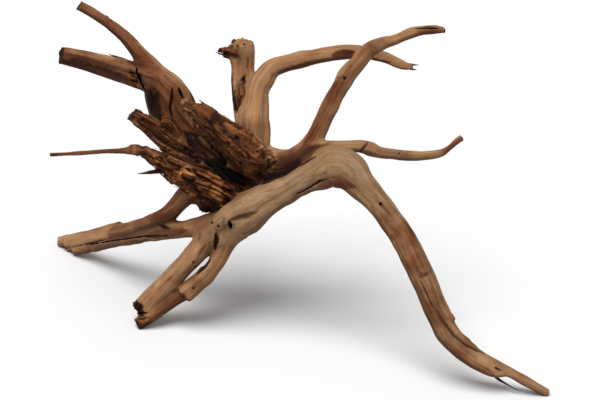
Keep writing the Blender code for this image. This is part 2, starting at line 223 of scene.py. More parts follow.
LIMBS: dict[str, Limb] = {
    "front_limb": Limb(((209, 237, 0, 8), (222, 228, -6, 14.5), (245, 212.5, -12, 19),
        (264.5, 199.5, -18, 15.5), (285, 190, -24, 13.4), (303, 180, -30, 12.8), (319, 173, -35, 16.3),
        (334, 166, -39, 20.6), (348.5, 171.5, -42, 19.6), (360.5, 183.5, -44, 15.2),
        (375, 199.5, -45, 12.6), (390, 219, -45, 12.0), (404, 239, -45, 12.8), (416.5, 264, -44, 12.9),
        (427.5, 288.5, -43, 12.6), (437, 311.5, -41, 12.2), (448, 332.5, -39, 12.2),
        (460.5, 346.5, -37, 11.3), (477.5, 359, -35, 10.5), (495, 368, -33, 9.5), (509, 371, -32, 5.8),
        (524, 379, -31, 5.4), (537, 386.5, -28, 5.3), (548, 392.5, -25, 4.2)), ASH),
    "right_root": Limb(((235, 150, 0, 20), (255, 160, 0, 18), (275, 163, -4, 14.5), (290, 161, -9, 12),
        (305, 155, -14, 11), (320, 149, -19, 8.5), (335, 147, -24, 6.8), (350, 146, -25, 6.2),
        (362, 146.5, -21, 7), (371, 148.5, -15, 7.5), (380, 151.7, -7, 6.7), (395, 153.9, 3, 5.6),
        (410, 155, 12, 5.3), (425, 155, 19, 4.7), (440, 152.5, 25, 4), (449, 147.5, 28, 3.2),
        (456, 141.5, 30, 3.1), (462, 137, 32, 3.0)), TAN),
    "crown_core": Limb(((225, 212, 4, 14), (229, 197, 12, 15), (236, 180, 16, 16), (245, 163, 16, 16),
        (256, 150, 10, 15)), DARK, roughness=1.4, shred=0.5),
    "crown_back": Limb(((262, 172, 12, 15), (240, 165, 24, 17), (215, 155, 24, 18), (195, 140, 18, 17),
        (180, 124, 12, 15)), DARK, roughness=1.4, shred=0.4),
    "crown_side": Limb(((186, 128, 16, 14), (190, 148, 20, 15), (197, 168, 20, 15), (205, 188, 12, 14),
        (212, 205, 4, 12)), DARK, roughness=1.4, shred=0.6),
    "arch_back": Limb(((270, 178, -4, 12), (292, 172, -12, 11), (312, 164, -21, 11), (330, 158, -30, 13)),
        RED),
    "tall_limb": Limb(((300, 158, -11, 9), (310.5, 144, -13, 9.4), (320.5, 128, -16, 8.8),
        (331, 105, -20, 8.8), (340, 88, -24, 9), (348.6, 73, -28, 9), (360, 60.5, -34, 8),
        (370, 49.5, -38, 7.5), (383, 43, -43, 6.2), (395, 39.5, -47, 4.9), (408, 34.3, -51, 5.3),
        (420, 30.5, -54, 4.8), (432, 29, -57, 4.4), (441, 29, -59, 3.4), (445.5, 30.3, -60, 1.6)),
        BROWN, sunk=0.004),
    "bent_limb": Limb(((248, 150, 2, 20), (254.5, 135, 0, 15.5), (254.5, 120, -2, 14),
        (256.7, 105, -2, 11.7), (259, 90, -2, 10.3), (264, 78.5, -1, 10.5), (271.5, 68.6, 0, 9.4),
        (283, 63.7, 3, 8.3), (300, 59.5, 6, 8), (320, 54.7, 10, 7.2), (340, 51.8, 13, 7.3),
        (355, 51, 15, 6.7), (370, 52.6, 17, 6), (382, 55.4, 18, 5.2), (395, 61, 20, 4.9),
        (405, 65, 22, 3.8), (413, 66.5, 23, 2.4)), PALE, neighbour_shade=0.4),
    # The knob stub is paler through painted light in its tone, and takes no painted shade from its
    # neighbours.
    "knob_stub": Limb(((250, 128, 8, 12), (245, 108, 10, 11), (243.2, 90, 12, 10.3), (243.3, 75, 12, 11.6),
        (243.3, 60, 11, 12.6), (241.8, 48, 10, 14), (239.5, 38.5, 9, 13.2)),
        BRIGHT, roughness=1.3, blunt=0.6, neighbour_shade=0.0),
    "knob_nub": Limb(((234, 52, 6, 6), (226, 51, 3, 4.8), (219.5, 49.5, 1, 2.8)),
        MAROON, roughness=2.5, shred=1.6, neighbour_shade=0.4),
    "upper_ridge": Limb(((206, 145, 10, 15), (191, 123, 0, 13.4), (182.5, 103, -4, 13.4),
        (171, 86.5, -6, 12.3), (156.5, 73, -8, 9.8), (145.8, 60.5, -10, 7.9), (137.5, 50.8, -11, 6.7),
        (130, 41.5, -12, 6.2), (120, 32.3, -13, 5.5), (110, 24, -14, 4.8), (100, 17, -15, 4.4),
        (90, 10.5, -16, 4.4), (79.5, 4.6, -17, 4.6)),
        RED, fluting=0.14, roughness=1.8, sunk=0.007, neighbour_shade=0.15),
    "upper_hollow": Limb(((190, 140, 6, 16), (172, 118, 6, 18), (163, 100, 4, 16), (157, 84, 0, 12)),
        MAROON, fluting=0.14, roughness=1.2),
    "left_stub": Limb(((155, 80, -4, 12), (140, 75, -10, 12.5), (127, 71, -17, 12), (110, 66, -24, 11.5),
        (90, 60.2, -31, 11), (75, 56.8, -36, 10), (61, 54.8, -40, 8.8)), RED, roughness=1.9, sunk=0.004),
    "plank": Limb(((195, 155, 0, 15), (178, 147, -6, 14), (163.5, 136.5, -12, 11), (151.5, 127.8, -17, 9.2),
        (141.5, 120.5, -21, 8.2), (132.5, 114, -24, 6.6)), DARK, depth=0.8, fluting=0.15, shred=0.9),
    "heart_bridge": Limb(((176, 132, 4, 13), (190, 145, -2, 14), (205, 157, -2, 14), (220, 170, -2, 12),
        (236, 186, -2, 9)), ROTTEN, fluting=0.16, shred=0.9),
    "curled_knot": Limb(((183, 142, -10, 4), (178, 136, -14, 4.5), (174, 127, -20, 5.4),
        (168.5, 121, -22, 4.8), (161.5, 121, -22, 3)), GOLDEN, shred=1.3, lump=1.2, neighbour_shade=0.05),
    "slab": Limb(((272, 168, -8, 13), (255, 158, -14, 19), (238, 143, -18, 19), (221, 129.5, -20, 14.6),
        (208.5, 116.5, -20, 10.6), (199, 107, -20, 7.6)),
        ROTTEN, depth=0.75, fluting=0.15, shred=0.7, lump=1.0, lump_share=0.62, neighbour_shade=0.2),
    "slab_tooth": Limb(((215, 118, -22, 6), (199, 108, -24, 4.5), (184, 103, -26, 3.2)), ROTTEN, shred=0.5),
    "torn_mass": Limb(((246, 206, 2, 12), (224, 192, -4, 15.5), (205, 182, -8, 16.4), (185, 173, -14, 14),
        (168, 164, -20, 11), (154, 156, -24, 7.5), (143, 150.5, -26, 5), (132, 148.7, -28, 3)),
        TORN, depth=0.85, fluting=0.18, shred=1.0),
    "twig": Limb(((137, 149, -27, 3.4), (120, 150.4, -29, 2.6), (105, 150.8, -31, 2.3), (80, 152.6, -34, 2),
        (50, 154.2, -38, 1.9)), MAROON),
    "lower_arm": Limb(((206, 188, 2, 11), (190, 192, 6, 11), (178.5, 204, 14, 9.2), (168, 213.5, 24, 8.4),
        (150, 221, 38, 7), (130, 228, 58, 6), (110, 232, 80, 5.5)), RED, blunt=2.5),
    "left_limb": Limb(((225, 222, 0, 12), (210, 224, 6, 10), (195, 226.3, 14, 9.3), (180, 228.5, 24, 8.4),
        (160, 230, 42, 9.8), (140, 230.8, 62, 10.6), (120, 234.2, 83, 9.4), (100, 238.7, 103, 8),
        (85, 241.8, 121, 7.4), (71, 244.2, 136, 7)), TAN, roughness=1.4, sunk=0.004, neighbour_shade=0.3),
    "left_limb_top": Limb(((120, 228, 80, 6), (100, 233.5, 101, 5.5), (80, 238, 123, 5.2),
        (61, 242, 142, 5.2)), PALE, roughness=1.3, neighbour_shade=0.1),
    "left_limb_under": Limb(((140, 237, 62, 4.4), (118, 241, 84, 4.6), (98, 246, 106, 4.6),
        (76, 250.5, 127, 4.2)), WARM, roughness=1.3, neighbour_shade=0.5),
    "front_stub": Limb(((222, 226, -4, 13), (212, 234, 0, 13), (204, 243.8, 4, 12.3), (193, 256, 8, 11.4),
        (179.7, 270.4, 13, 10.5), (164.3, 285.8, 18, 10.2), (150.5, 299.5, 22, 10.4),
        (140.8, 310.8, 25, 10.8)), TAN, sunk=0.004),
    "second_stub": Limb(((236, 226, -8, 11), (229, 238, -6, 9.3), (223, 250, -3, 8.4), (216, 263, 0, 7.6),
        (207, 275, 4, 7.3), (197, 284, 7, 7.2), (185, 294.2, 10, 7.6)), TAN, sunk=0.004, neighbour_shade=0.0),
    "under_stub": Limb(((207, 272, 7, 5), (197, 283, 10, 5.5), (184, 294, 14, 5.6), (170, 303.5, 18, 5.6),
        (155, 314, 19, 5.8), (137.8, 324.6, 20, 5.8)), RED, roughness=1.5),
}

# The limbs of the torn skin. All the others make the sound one.
TORN_LIMBS = ("plank", "heart_bridge", "curled_knot", "slab", "slab_tooth", "torn_mass", "twig")


@dataclass(frozen=True)
class Mark:
    """A crack, groove, pit, ridge, stain or torn stretch on one limb.

    It has a traced line, a half-width in traced units and a depth in millimetres, which for a torn
    stretch is instead how torn it is. Shade is how dark it is at its bottom, from 0 to 1: painted
    shade in a crack, pit, groove and hollow, and the darkness of a dark stain. Ragged is how far
    its edge wavers, as a share of its width.
    """

    limb: str
    kind: MarkKind
    line: tuple[Spot, ...]
    half_width: float
    depth: float = 0.0
    shade: float = 0.0
    tone: Tone | None = None
    ragged: float = 0.10


MARKS: dict[str, Mark] = {
    "arch_crack": Mark("front_limb", CRACK, ((294, 195.5), (301, 192), (310, 187), (319, 181.5),
        (328, 178)), 1.0, 1.7, 1.0, ragged=0.0),
    "arch_lip": Mark("front_limb", RIDGE, ((298, 196), (310, 190.5), (322, 184)), 2.6, 1.0),
    "knot_hole": Mark("front_limb", PIT, ((379.5, 202.5), (382.5, 204.5)), 2.0, 3.4, 0.95),
    "knot_groove": Mark("front_limb", GROOVE, ((376, 199), (382, 205), (388, 211), (394, 219)),
        1.7, 1.1, 0.35),
    "knot_rim": Mark("front_limb", RIDGE, ((380, 198), (387, 204), (394, 213)), 2.4, 0.8),
    "worn_scar": Mark("front_limb", GROOVE, ((402, 245), (405, 251), (406, 258)), 2.6, 0.8, 0.25),
    "notch": Mark("front_limb", GROOVE, ((419, 276.5), (424, 276), (430, 273)), 2.2, 1.4, 0.35),
    "notch_lip": Mark("front_limb", RIDGE, ((418, 271.5), (425, 271), (431, 268)), 2.6, 1.4, 0.0, TAN),
    "long_crack": Mark("front_limb", CRACK, ((420, 279), (424, 286), (427.5, 293), (431, 301),
        (435.5, 309)), 0.8, 0.9, 0.6),
    "long_ridge": Mark("front_limb", RIDGE, ((417, 278), (423, 291), (429, 303), (434, 312)), 2.2, 0.8),
    "long_hollow": Mark("front_limb", GROOVE, ((437, 309), (445, 322), (455, 334.5), (466, 343.5),
        (484, 353)), 2.6, 1.7, 0.55, RED),
    "bark_edge": Mark("front_limb", RIDGE, ((440, 309), (449, 321), (459, 332), (472, 342), (486, 349.5)),
        2.6, 1.3, 0.0, TAN),
    "foot_slit": Mark("front_limb", CRACK, ((494.5, 367), (498, 368.5), (501.5, 370)), 1.0, 1.2, 0.75),
    "edge_chip": Mark("front_limb", RIDGE, ((452, 313), (454.5, 320)), 2.4, 1.6),
    "hollow_knot": Mark("front_limb", PIT, ((229.5, 220.5), (230.5, 224), (231, 228)), 2.5, 4.5, 0.95),
    "left_break": Mark("left_limb", GROOVE, ((126, 221), (124.5, 226), (127, 231)), 2.2, 1.8, 0.7),
    "left_break_lip": Mark("left_limb", RIDGE, ((131.5, 220.5), (130.5, 226), (133, 231)),
        2.8, 1.6, 0.0, PALE),
    "knot_tail": Mark("front_limb", GROOVE, ((225, 215), (223.5, 224), (226, 233)), 2.0, 1.0, 0.3),
    "knot_fold": Mark("front_limb", GROOVE, ((229, 220), (238, 217.5), (247, 216), (258, 211)),
        3.6, 1.3, 0.38, UMBER),
    "knot_lip": Mark("front_limb", RIDGE, ((228, 212), (238, 209), (250, 205.5)), 3.0, 1.0),
    "pit_left": Mark("front_limb", PIT, ((212, 222),), 1.8, 1.2, 0.7),
    "pit_right": Mark("front_limb", PIT, ((218.5, 226),), 1.8, 1.3, 0.7),
    "fork_hollow": Mark("front_stub", CRACK, ((217, 230), (217.5, 239), (215, 249)), 3.2, 4.0, 0.9),
    "fork_hollow_side": Mark("second_stub", CRACK, ((217, 230), (217.5, 239), (215, 249)), 3.2, 4.0, 0.9),
    "stub_pit_a": Mark("front_stub", PIT, ((194, 262.5),), 1.5, 1.1, 0.8),
    "stub_pit_b": Mark("front_stub", PIT, ((196, 267),), 1.3, 1.0, 0.8),
    "stub_scar": Mark("front_stub", GROOVE, ((204, 247), (201, 253), (198, 259)), 2.8, 0.9, 0.3),
    "stub_check": Mark("front_stub", CRACK, ((150, 316), (163, 305), (176, 292), (190, 277)),
        1.0, 1.0, 0.5),
    "stub_brown_a": Mark("front_stub", STAIN, ((172, 276), (160, 290), (150, 300)), 3.4, tone=BROWN),
    "stub_brown_b": Mark("front_stub", STAIN, ((206, 244), (196, 258)), 2.6, tone=BROWN),
    "second_pit": Mark("second_stub", PIT, ((194, 288),), 1.3, 1.0, 0.8),
    "second_shade": Mark("second_stub", GROOVE, ((211, 258), (204, 266), (197, 274)), 3.0, 1.2, 0.75),
    "under_shade": Mark("under_stub", STAIN, ((196, 286), (170, 305), (150, 318)), 6.0, 0.0, 0.3, MAROON),
    "left_ruddy": Mark("left_limb", STAIN, ((146, 236), (162, 233), (186, 230)), 7.0, 0.0, 0.2, RED),
    # Painted light: a paler band along the left stub's top.
    "stub_top_painted_light": Mark("left_stub", STAIN, ((66, 49), (90, 54), (114, 59)), 3.2, tone=BROWN),
    "second_warm": Mark("second_stub", STAIN, ((226, 246), (216, 264), (204, 278)), 5.0, tone=WARM),
    "left_check": Mark("left_limb", CRACK, ((84, 245.5), (98, 243), (114, 240.5), (130, 238), (146, 236),
        (168, 235)), 1.1, 1.5, 0.8, ragged=0.4),
    "left_check_up": Mark("left_limb", CRACK, ((72, 247), (84, 244.5), (98, 241.5), (112, 238)),
        0.8, 1.0, 0.65, ragged=0.4),
    "left_torn": Mark("left_limb", SHRED, ((66, 248), (96, 244), (130, 240), (160, 237)), 5.0, 0.30),
    "left_under_torn": Mark("left_limb_under", SHRED, ((72, 252), (100, 246), (140, 238)), 7.0, 0.5),
    # Painted light: the left limb's top near its end is paler.
    "left_top_painted_light": Mark("left_limb", STAIN, ((66, 240), (96, 235), (124, 230)), 4.5, tone=PALE),
    "root_meeting": Mark("left_limb", GROOVE, ((146, 221), (158, 224), (170, 228)), 2.6, 1.5, 0.8),
    "trunk_slit": Mark("upper_ridge", CRACK, ((179, 87), (181, 92), (183.5, 98.5)), 1.8, 3.0, 1.0),
    "trunk_groove": Mark("upper_ridge", CRACK, ((173, 86), (172, 97), (170.5, 108), (172, 118)),
        1.9, 2.4, 0.7),
    "trunk_ridge": Mark("upper_ridge", RIDGE, ((176, 104), (184, 116), (193, 126), (200, 131)), 3.2, 1.6),
    "trunk_red": Mark("upper_ridge", STAIN, ((180, 118), (188, 128), (197, 136)), 5.0, 0.0, 0.15, RED),
    "trunk_torn": Mark("upper_ridge", SHRED, ((186, 104), (194, 120), (206, 142)), 10.0, 1.0),
    "trunk_chips": Mark("upper_ridge", RIDGE, ((183, 98), (190, 107), (197, 117), (204, 128)),
        6.5, 1.0, 0.0, WARM, ragged=0.5),
    "trunk_warm": Mark("upper_ridge", STAIN, ((162, 66), (174, 76), (185, 88), (192, 100)), 4.5, tone=WARM),
    # Painted shade: the trunk's low end by the hollow, and its left side away from the light, are stained
    # dark.
    "trunk_low_painted_shade": Mark("upper_ridge", STAIN, ((182, 132), (196, 139), (210, 150)), 9.0, 0.0, 0.75, DARK),
    "trunk_left_painted_shade": Mark("upper_ridge", STAIN, ((150, 84), (156, 94), (162, 108), (168, 122)),
        8.5, 0.0, 0.2, MAROON),
    "trunk_deep_painted_shade": Mark("upper_hollow", STAIN, ((150, 90), (153, 104), (160, 118)),
        9.0, 0.0, 0.7, DARK, ragged=0.3),
    "trunk_ruddy": Mark("upper_ridge", STAIN, ((146, 66), (158, 78), (170, 96)), 8.0, tone=RED),
    "trunk_hollow": Mark("upper_hollow", GROOVE, ((158, 92), (155, 102), (156, 113)), 5.5, 2.4, 0.55),
    "upper_red": Mark("upper_ridge", STAIN, ((82, 10), (104, 28), (120, 42), (136, 60)),
        5.0, 0.0, 0.2, MAROON),
    "upper_brown": Mark("upper_ridge", STAIN, ((136, 41), (154, 58), (169, 74), (182, 90), (190, 104)),
        2.8, tone=BROWN),
    "stub_crevice": Mark("left_stub", CRACK, ((135, 63), (137.5, 68), (137.5, 73), (140.5, 78), (142, 84),
        (146.5, 90)), 1.7, 3.2, 1.0, ragged=0.35),
    "stub_crevice_trunk": Mark("upper_ridge", CRACK, ((135, 63), (137.5, 68), (137.5, 73), (140.5, 78),
        (142, 84), (146.5, 90)), 1.7, 2.4, 1.0, ragged=0.35),
    "stub_torn": Mark("left_stub", SHRED, ((131, 70), (134, 78), (137, 86)), 5.5, 1.0, 0.1, TORN),
    "trunk_rim": Mark("upper_ridge", RIDGE, ((140.5, 59.5), (143, 68), (146, 78), (151, 88)),
        2.4, 1.5, 0.0, BROWN),
    "stub_dark": Mark("left_stub", STAIN, ((62, 60), (88, 67), (108, 72), (128, 80)),
        9.5, 0.0, 0.42, MAROON, ragged=0.3),
    "stub_streak": Mark("left_stub", CRACK, ((70, 58), (80, 60.5), (92, 63.5)), 0.9, 0.9, 0.4),
    "stub_cut": Mark("left_stub", GROOVE, ((64, 47), (60, 54), (58.5, 61)), 3.2, 1.2, 0.55, DARK),
    "front_cut": Mark("front_stub", GROOVE, ((136.5, 301), (138, 307), (142, 314)),
        6.4, 1.5, 0.75, DARK, ragged=0.2),
    "front_cut_torn": Mark("front_stub", SHRED, ((134, 302), (138, 311), (146, 318)), 6.0, 0.8, 0.2),
    "front_cut_split": Mark("front_stub", CRACK, ((133, 311), (141, 313), (149, 312)),
        1.0, 1.6, 0.9, ragged=0.3),
    "front_cut_low": Mark("front_stub", CRACK, ((135, 317.5), (142, 319), (151, 316.5)),
        1.0, 1.6, 0.9, ragged=0.3),
    "second_cut": Mark("second_stub", GROOVE, ((183, 292), (184.5, 297), (188, 301)), 3.2, 1.4, 0.35),
    "under_cut": Mark("under_stub", GROOVE, ((134, 319), (137, 324), (142, 327)), 3.6, 1.6, 0.5, DARK),
    "stub_step": Mark("left_stub", RIDGE, ((109, 57.5), (120, 59), (133, 61)), 2.2, 1.0),
    "knob_pit_a": Mark("knob_stub", PIT, ((237.5, 45.5),), 1.8, 1.8, 0.95),
    "knob_pit_b": Mark("knob_stub", PIT, ((245, 43.5),), 1.7, 1.8, 0.95),
    "knob_slit": Mark("knob_stub", CRACK, ((248.5, 57), (248.5, 62), (248, 68)), 0.9, 1.0, 0.45),
    "knob_fold": Mark("knob_stub", GROOVE, ((229, 40), (231, 48), (231, 57)), 2.4, 1.0, 0.4),
    "knob_rot": Mark("knob_stub", GROOVE, ((245, 76), (242, 85), (240, 95), (237, 105), (236, 112)),
        5.6, 3.0, 0.25, ROTTEN),
    "knob_rot_torn": Mark("knob_stub", SHRED, ((244, 78), (240, 92), (236, 110)), 6.0, 1.1),
    # Painted shade on the knob stub's left side.
    "knob_side_painted_shade": Mark("knob_stub", STAIN, ((230.5, 64), (232, 90), (234, 110)), 3.4, 0.0, 0.45, DARK),
    "knob_nub_rot": Mark("knob_nub", SHRED, ((232, 53), (224, 52), (218, 50)), 7.0, 0.9, 0.2, ROTTEN),
    "bend_fold": Mark("bent_limb", GROOVE, ((270, 70), (273, 75), (271, 81)), 2.2, 0.9, 0.2),
    # Painted shade: the bent limb's root under the slab is stained dark.
    "bent_root_painted_shade": Mark("bent_limb", STAIN, ((224, 168), (244, 176), (262, 178)), 13.0, 0.0, 0.8, DARK),
    "bent_stain": Mark("bent_limb", STAIN, ((332, 55), (342, 53), (354, 51.5)), 6.0, 0.0, 0.35, MAROON),
    "bent_under": Mark("bent_limb", STAIN, ((278, 72), (296, 67.5), (318, 62), (340, 58), (362, 58),
        (390, 62)), 4.4, tone=RED),
    "bent_brown_side": Mark("bent_limb", STAIN, ((269, 108), (271, 128), (273, 143)), 2.6, tone=BROWN),
    "tall_scar": Mark("tall_limb", PIT, ((345, 78),), 2.4, 1.2, 0.8),
    "tall_red": Mark("tall_limb", STAIN, ((302, 152), (313, 132), (324, 112), (336, 88), (352, 66)),
        7.0, tone=RED),
    "tall_tip_split": Mark("tall_limb", CRACK, ((416, 28), (428, 27.3), (440, 28)), 1.2, 1.6, 0.8),
    "root_fold": Mark("right_root", GROOVE, ((369, 141), (365, 147), (359, 153)), 1.7, 1.6, 0.4, RED),
    "root_far": Mark("right_root", STAIN, ((424, 156), (446, 151), (462, 138)), 5.0, tone=BROWN),
    "root_knot": Mark("right_root", PIT, ((400, 153),), 1.6, 0.8, 0.6),
    "root_red": Mark("right_root", STAIN, ((262, 168), (278, 164), (294, 160), (310, 154), (326, 147)),
        15.0, 0.0, 0.5, RED),
    # Painted shade: these seam grooves and stains darken the shadow where the root, crown, bent limb and
    # front limb meet; the grooves are also cut.
    "back_seam": Mark("arch_back", GROOVE, ((256, 182), (272, 176), (286, 170), (300, 162)), 6.0, 1.2, 0.9),
    "core_seam_painted_shade": Mark("crown_core", STAIN, ((250, 184), (262, 180), (276, 174)), 10.0, 0.0, 0.95, DARK),
    "bent_seam_painted_shade": Mark("bent_limb", STAIN, ((256, 180), (272, 175), (286, 168)), 7.0, 0.0, 0.85, DARK),
    "back_red": Mark("arch_back", STAIN, ((266, 176), (283, 170), (300, 161), (316, 153)),
        9.0, 0.0, 0.35, RED),
    "root_seam": Mark("right_root", GROOVE, ((254, 184), (272, 176), (286, 170), (300, 162), (316, 154)),
        6.0, 1.6, 0.95),
    "root_seam_front": Mark("front_limb", GROOVE, ((250, 187), (270, 179.5), (286, 172), (300, 164),
        (316, 156)), 2.8, 1.2, 0.7),
    "low_ruddy": Mark("front_limb", STAIN, ((372, 206), (386, 236), (398, 264), (410, 292), (424, 320),
        (446, 348), (480, 369)), 8.0, tone=RED),
    "low_brown": Mark("front_limb", STAIN, ((376, 196), (404, 234), (416, 262), (428, 290), (440, 316),
        (456, 340), (474, 356)), 18.0, tone=UMBER),
    "foot_tan": Mark("front_limb", STAIN, ((486, 358), (510, 371), (548, 392)), 16.0, tone=TAN),
    "foot_bright": Mark("front_limb", STAIN, ((448, 322), (462, 335), (480, 347), (500, 358)),
        5.0, tone=TAN),
    "foot_brown": Mark("front_limb", STAIN, ((446, 342), (466, 360), (494, 374)), 7.0, tone=RED),
    "arch_shade": Mark("front_limb", STAIN, ((318, 184), (336, 181), (354, 186)), 9.0, tone=UMBER),
    # Painted shade: dark stains fill the hollow behind the crown and under the slab.
    "hollow_painted_shade": Mark("crown_core", STAIN, ((216, 152), (228, 166), (242, 180)), 18.0, 0.0, 0.9, DARK),
    "hollow_back_painted_shade": Mark("crown_back", STAIN, ((205, 150), (222, 164), (240, 178)), 18.0, 0.0, 0.8, DARK),
    "hollow_side_painted_shade": Mark("crown_side", STAIN, ((196, 150), (210, 168), (222, 186)), 14.0, 0.0, 0.6, DARK),
    "slab_gold_edge": Mark("slab", RIDGE, ((240, 121), (251, 129), (260, 138), (267, 149), (270, 161)),
        6.5, 0.9, 0.0, STRAW, ragged=0.5),
    "slab_pale_edge": Mark("slab", STAIN, ((252, 127), (262, 137), (269, 149), (273, 160)),
        4.5, tone=TAN, ragged=0.5),
    "slab_gold_spot": Mark("slab", STAIN, ((228, 134), (236, 142), (246, 156)), 3.0, tone=GOLDEN),
    "slab_low_dark": Mark("slab", STAIN, ((212, 134), (228, 154), (244, 172)), 5.0, 0.0, 0.4, ROTTEN),
    "plank_dark": Mark("plank", STAIN, ((134, 115), (150, 127), (168, 140), (184, 150)),
        9.0, 0.0, 0.35, DARK),
    # Painted shade: the bridge's end in the hollow, and its part under the trunk's end, are stained dark.
    "bridge_painted_shade": Mark("heart_bridge", STAIN, ((208, 160), (222, 168), (244, 182)), 15.0, 0.0, 1.0, DARK),
    "bridge_end_painted_shade": Mark("heart_bridge", STAIN, ((188, 140), (206, 152)), 12.0, 0.0, 0.45, MAROON),
    # Painted shade in the gap under the torn ridge.
    "torn_gap_painted_shade": Mark("torn_mass", STAIN, ((168, 152), (190, 163), (214, 170)), 4.0, 0.0, 0.6, DARK),
    "torn_ridge": Mark("torn_mass", RIDGE, ((141, 148), (158, 154.5), (178, 162), (198, 169.5),
        (214, 172.5)), 2.2, 1.8, 0.22, RED, ragged=0.4),
    "torn_gold": Mark("torn_mass", STAIN, ((158, 162), (178, 172), (200, 180), (216, 186)),
        6.0, tone=GOLDEN),
    "torn_low_dark": Mark("torn_mass", STAIN, ((186, 196), (206, 204), (224, 208)), 8.0, 0.0, 0.5, DARK),
}


@dataclass(frozen=True)
class Splinter:
    """A single spike: root and tip, traced with millimetres away, traced half-width at the root, tone."""

    root: Spot3
    tip: Spot3
    half_width: float
    tone: Tone = Tone.BROWN


SPLINTERS: dict[str, Splinter] = {
    "foot_splinter": Splinter((492, 374, -33), (521.5, 391.2, -30), 2.0, DARK),
    "bent_tip_upper": Splinter((404, 63.5, 21), (420, 64.6, 24), 2.2),
    "bent_tip_lower": Splinter((404, 66.5, 21), (417.5, 69.4, 24), 2.0),
    "knob_thorn": Splinter((231, 56, 4), (215.5, 51.6, 0), 1.8, DARK),
    "knob_thorn_low": Splinter((234, 58, 5), (222.5, 56, 2), 1.5, DARK),
    "knob_thorn_top": Splinter((231, 49, 6), (224, 46, 3), 1.2, ROTTEN),
    "slab_spike": Splinter((222, 118, -14), (199.5, 99.2, -18), 4.0, ROTTEN),
    "crown_spike": Splinter((168, 169.5, -18), (137.5, 173.4, -24), 3.6, DARK),
    "limb_thorn": Splinter((262, 224, -14), (256, 232.5, -16), 3.0),
    "stub_thorn": Splinter((226, 240, -10), (232, 247.5, -13), 2.6),
    "bark_step": Splinter((132, 62.5, -14), (109, 53.6, -20), 2.6),
    "bark_tooth": Splinter((145, 66, -8), (134, 56.5, -12), 3.2, WARM),
    "ridge_nub": Splinter((154, 68, -7), (160.5, 63.5, -9), 2.6),
    "upper_nub": Splinter((110, 21, -14), (107.2, 14.2, -14), 2.2, DARK),
    "tall_bud": Splinter((328, 109.5, -19), (319, 107.6, -18), 2.8, RED),
}


@dataclass(frozen=True)
class FibreRow:
    """Torn fibres on a limb: how many, where they start and end along it, and how they are shaped.

    The starts and ends are shares of the limb's length, and an end past 1 stands beyond its tip. The
    turns are degrees round the limb, where 0 is its side in the picture and 270 faces the eye. Splay
    is how far a fibre may turn about the limb on its way, in degrees.
    """

    limb: str
    count: int
    starts: tuple[float, float]
    ends: tuple[float, float]
    turns: tuple[float, float]
    half_width_mm: float
    lift_mm: float
    tone: Tone
    flatness: float = 0.45
    splay: float = 26.0


FIBRE_ROWS: dict[str, FibreRow] = {
    "heart_plates": FibreRow("torn_mass", 5, (0.15, 0.75), (0.30, 0.97), (0, 360), 0.9, 1.2, TORN, 0.4,
        16.0),
    "heart_dark": FibreRow("torn_mass", 5, (0.15, 0.75), (0.30, 0.97), (0, 360), 1.1, 1.6, DARK, 0.5, 16.0),
    "heart_front": FibreRow("torn_mass", 5, (0.15, 0.80), (0.30, 0.98), (180, 360), 0.6, 1.2, TORN, 0.6),
    "heart_hair": FibreRow("torn_mass", 8, (0.25, 0.75), (0.40, 1.00), (0, 360), 0.3, 4.0, TORN, 0.9, 40.0),
    "slab_plates": FibreRow("slab", 7, (0.45, 0.80), (0.75, 1.02), (0, 360), 0.8, 0.8, ROTTEN),
    "slab_dark": FibreRow("slab", 8, (0.45, 0.85), (0.70, 1.03), (0, 360), 0.7, 0.9, DARK, 0.6),
    "slab_hair": FibreRow("slab", 14, (0.05, 0.80), (0.20, 1.00), (0, 360), 0.3, 1.4, TORN, 0.9, 50.0),
    "tooth_plates": FibreRow("slab_tooth", 4, (0.1, 0.6), (0.75, 1.03), (0, 360), 0.7, 0.4, ROTTEN),
    "plank_plates": FibreRow("plank", 16, (0.20, 0.70), (0.60, 1.02), (0, 360), 1.1, 0.6, DARK),
    "plank_hair": FibreRow("plank", 10, (0.25, 0.85), (0.50, 1.02), (0, 360), 0.35, 1.0, ROTTEN, 0.9),
    "crown_fibres": FibreRow("crown_side", 30, (0.10, 0.70), (0.30, 0.95), (150, 390), 0.9, 1.5, DARK),
    "knob_rot_hair": FibreRow("knob_stub", 9, (0.12, 0.45), (0.30, 0.60), (170, 250), 0.35, 0.5, ROTTEN,
        0.7),
    "under_end": FibreRow("under_stub", 9, (0.60, 0.90), (0.90, 1.03), (0, 360), 0.9, 0.2, DARK, 0.6, 12.0),
    "left_end": FibreRow("left_limb", 8, (0.84, 0.93), (0.97, 1.01), (0, 360), 0.9, 0.0, BROWN, 0.6, 8.0),
}


@dataclass(frozen=True)
class FibreFan:
    """Fibres spread between two traced lines: their roots' ends, their tips' ends, and their number.

    Their half-width at the root and their scatter are in traced units, or millimetres away.
    """

    roots: tuple[Spot3, Spot3]
    tips: tuple[Spot3, Spot3]
    count: int
    half_width: float
    scatter: float
    tone: Tone


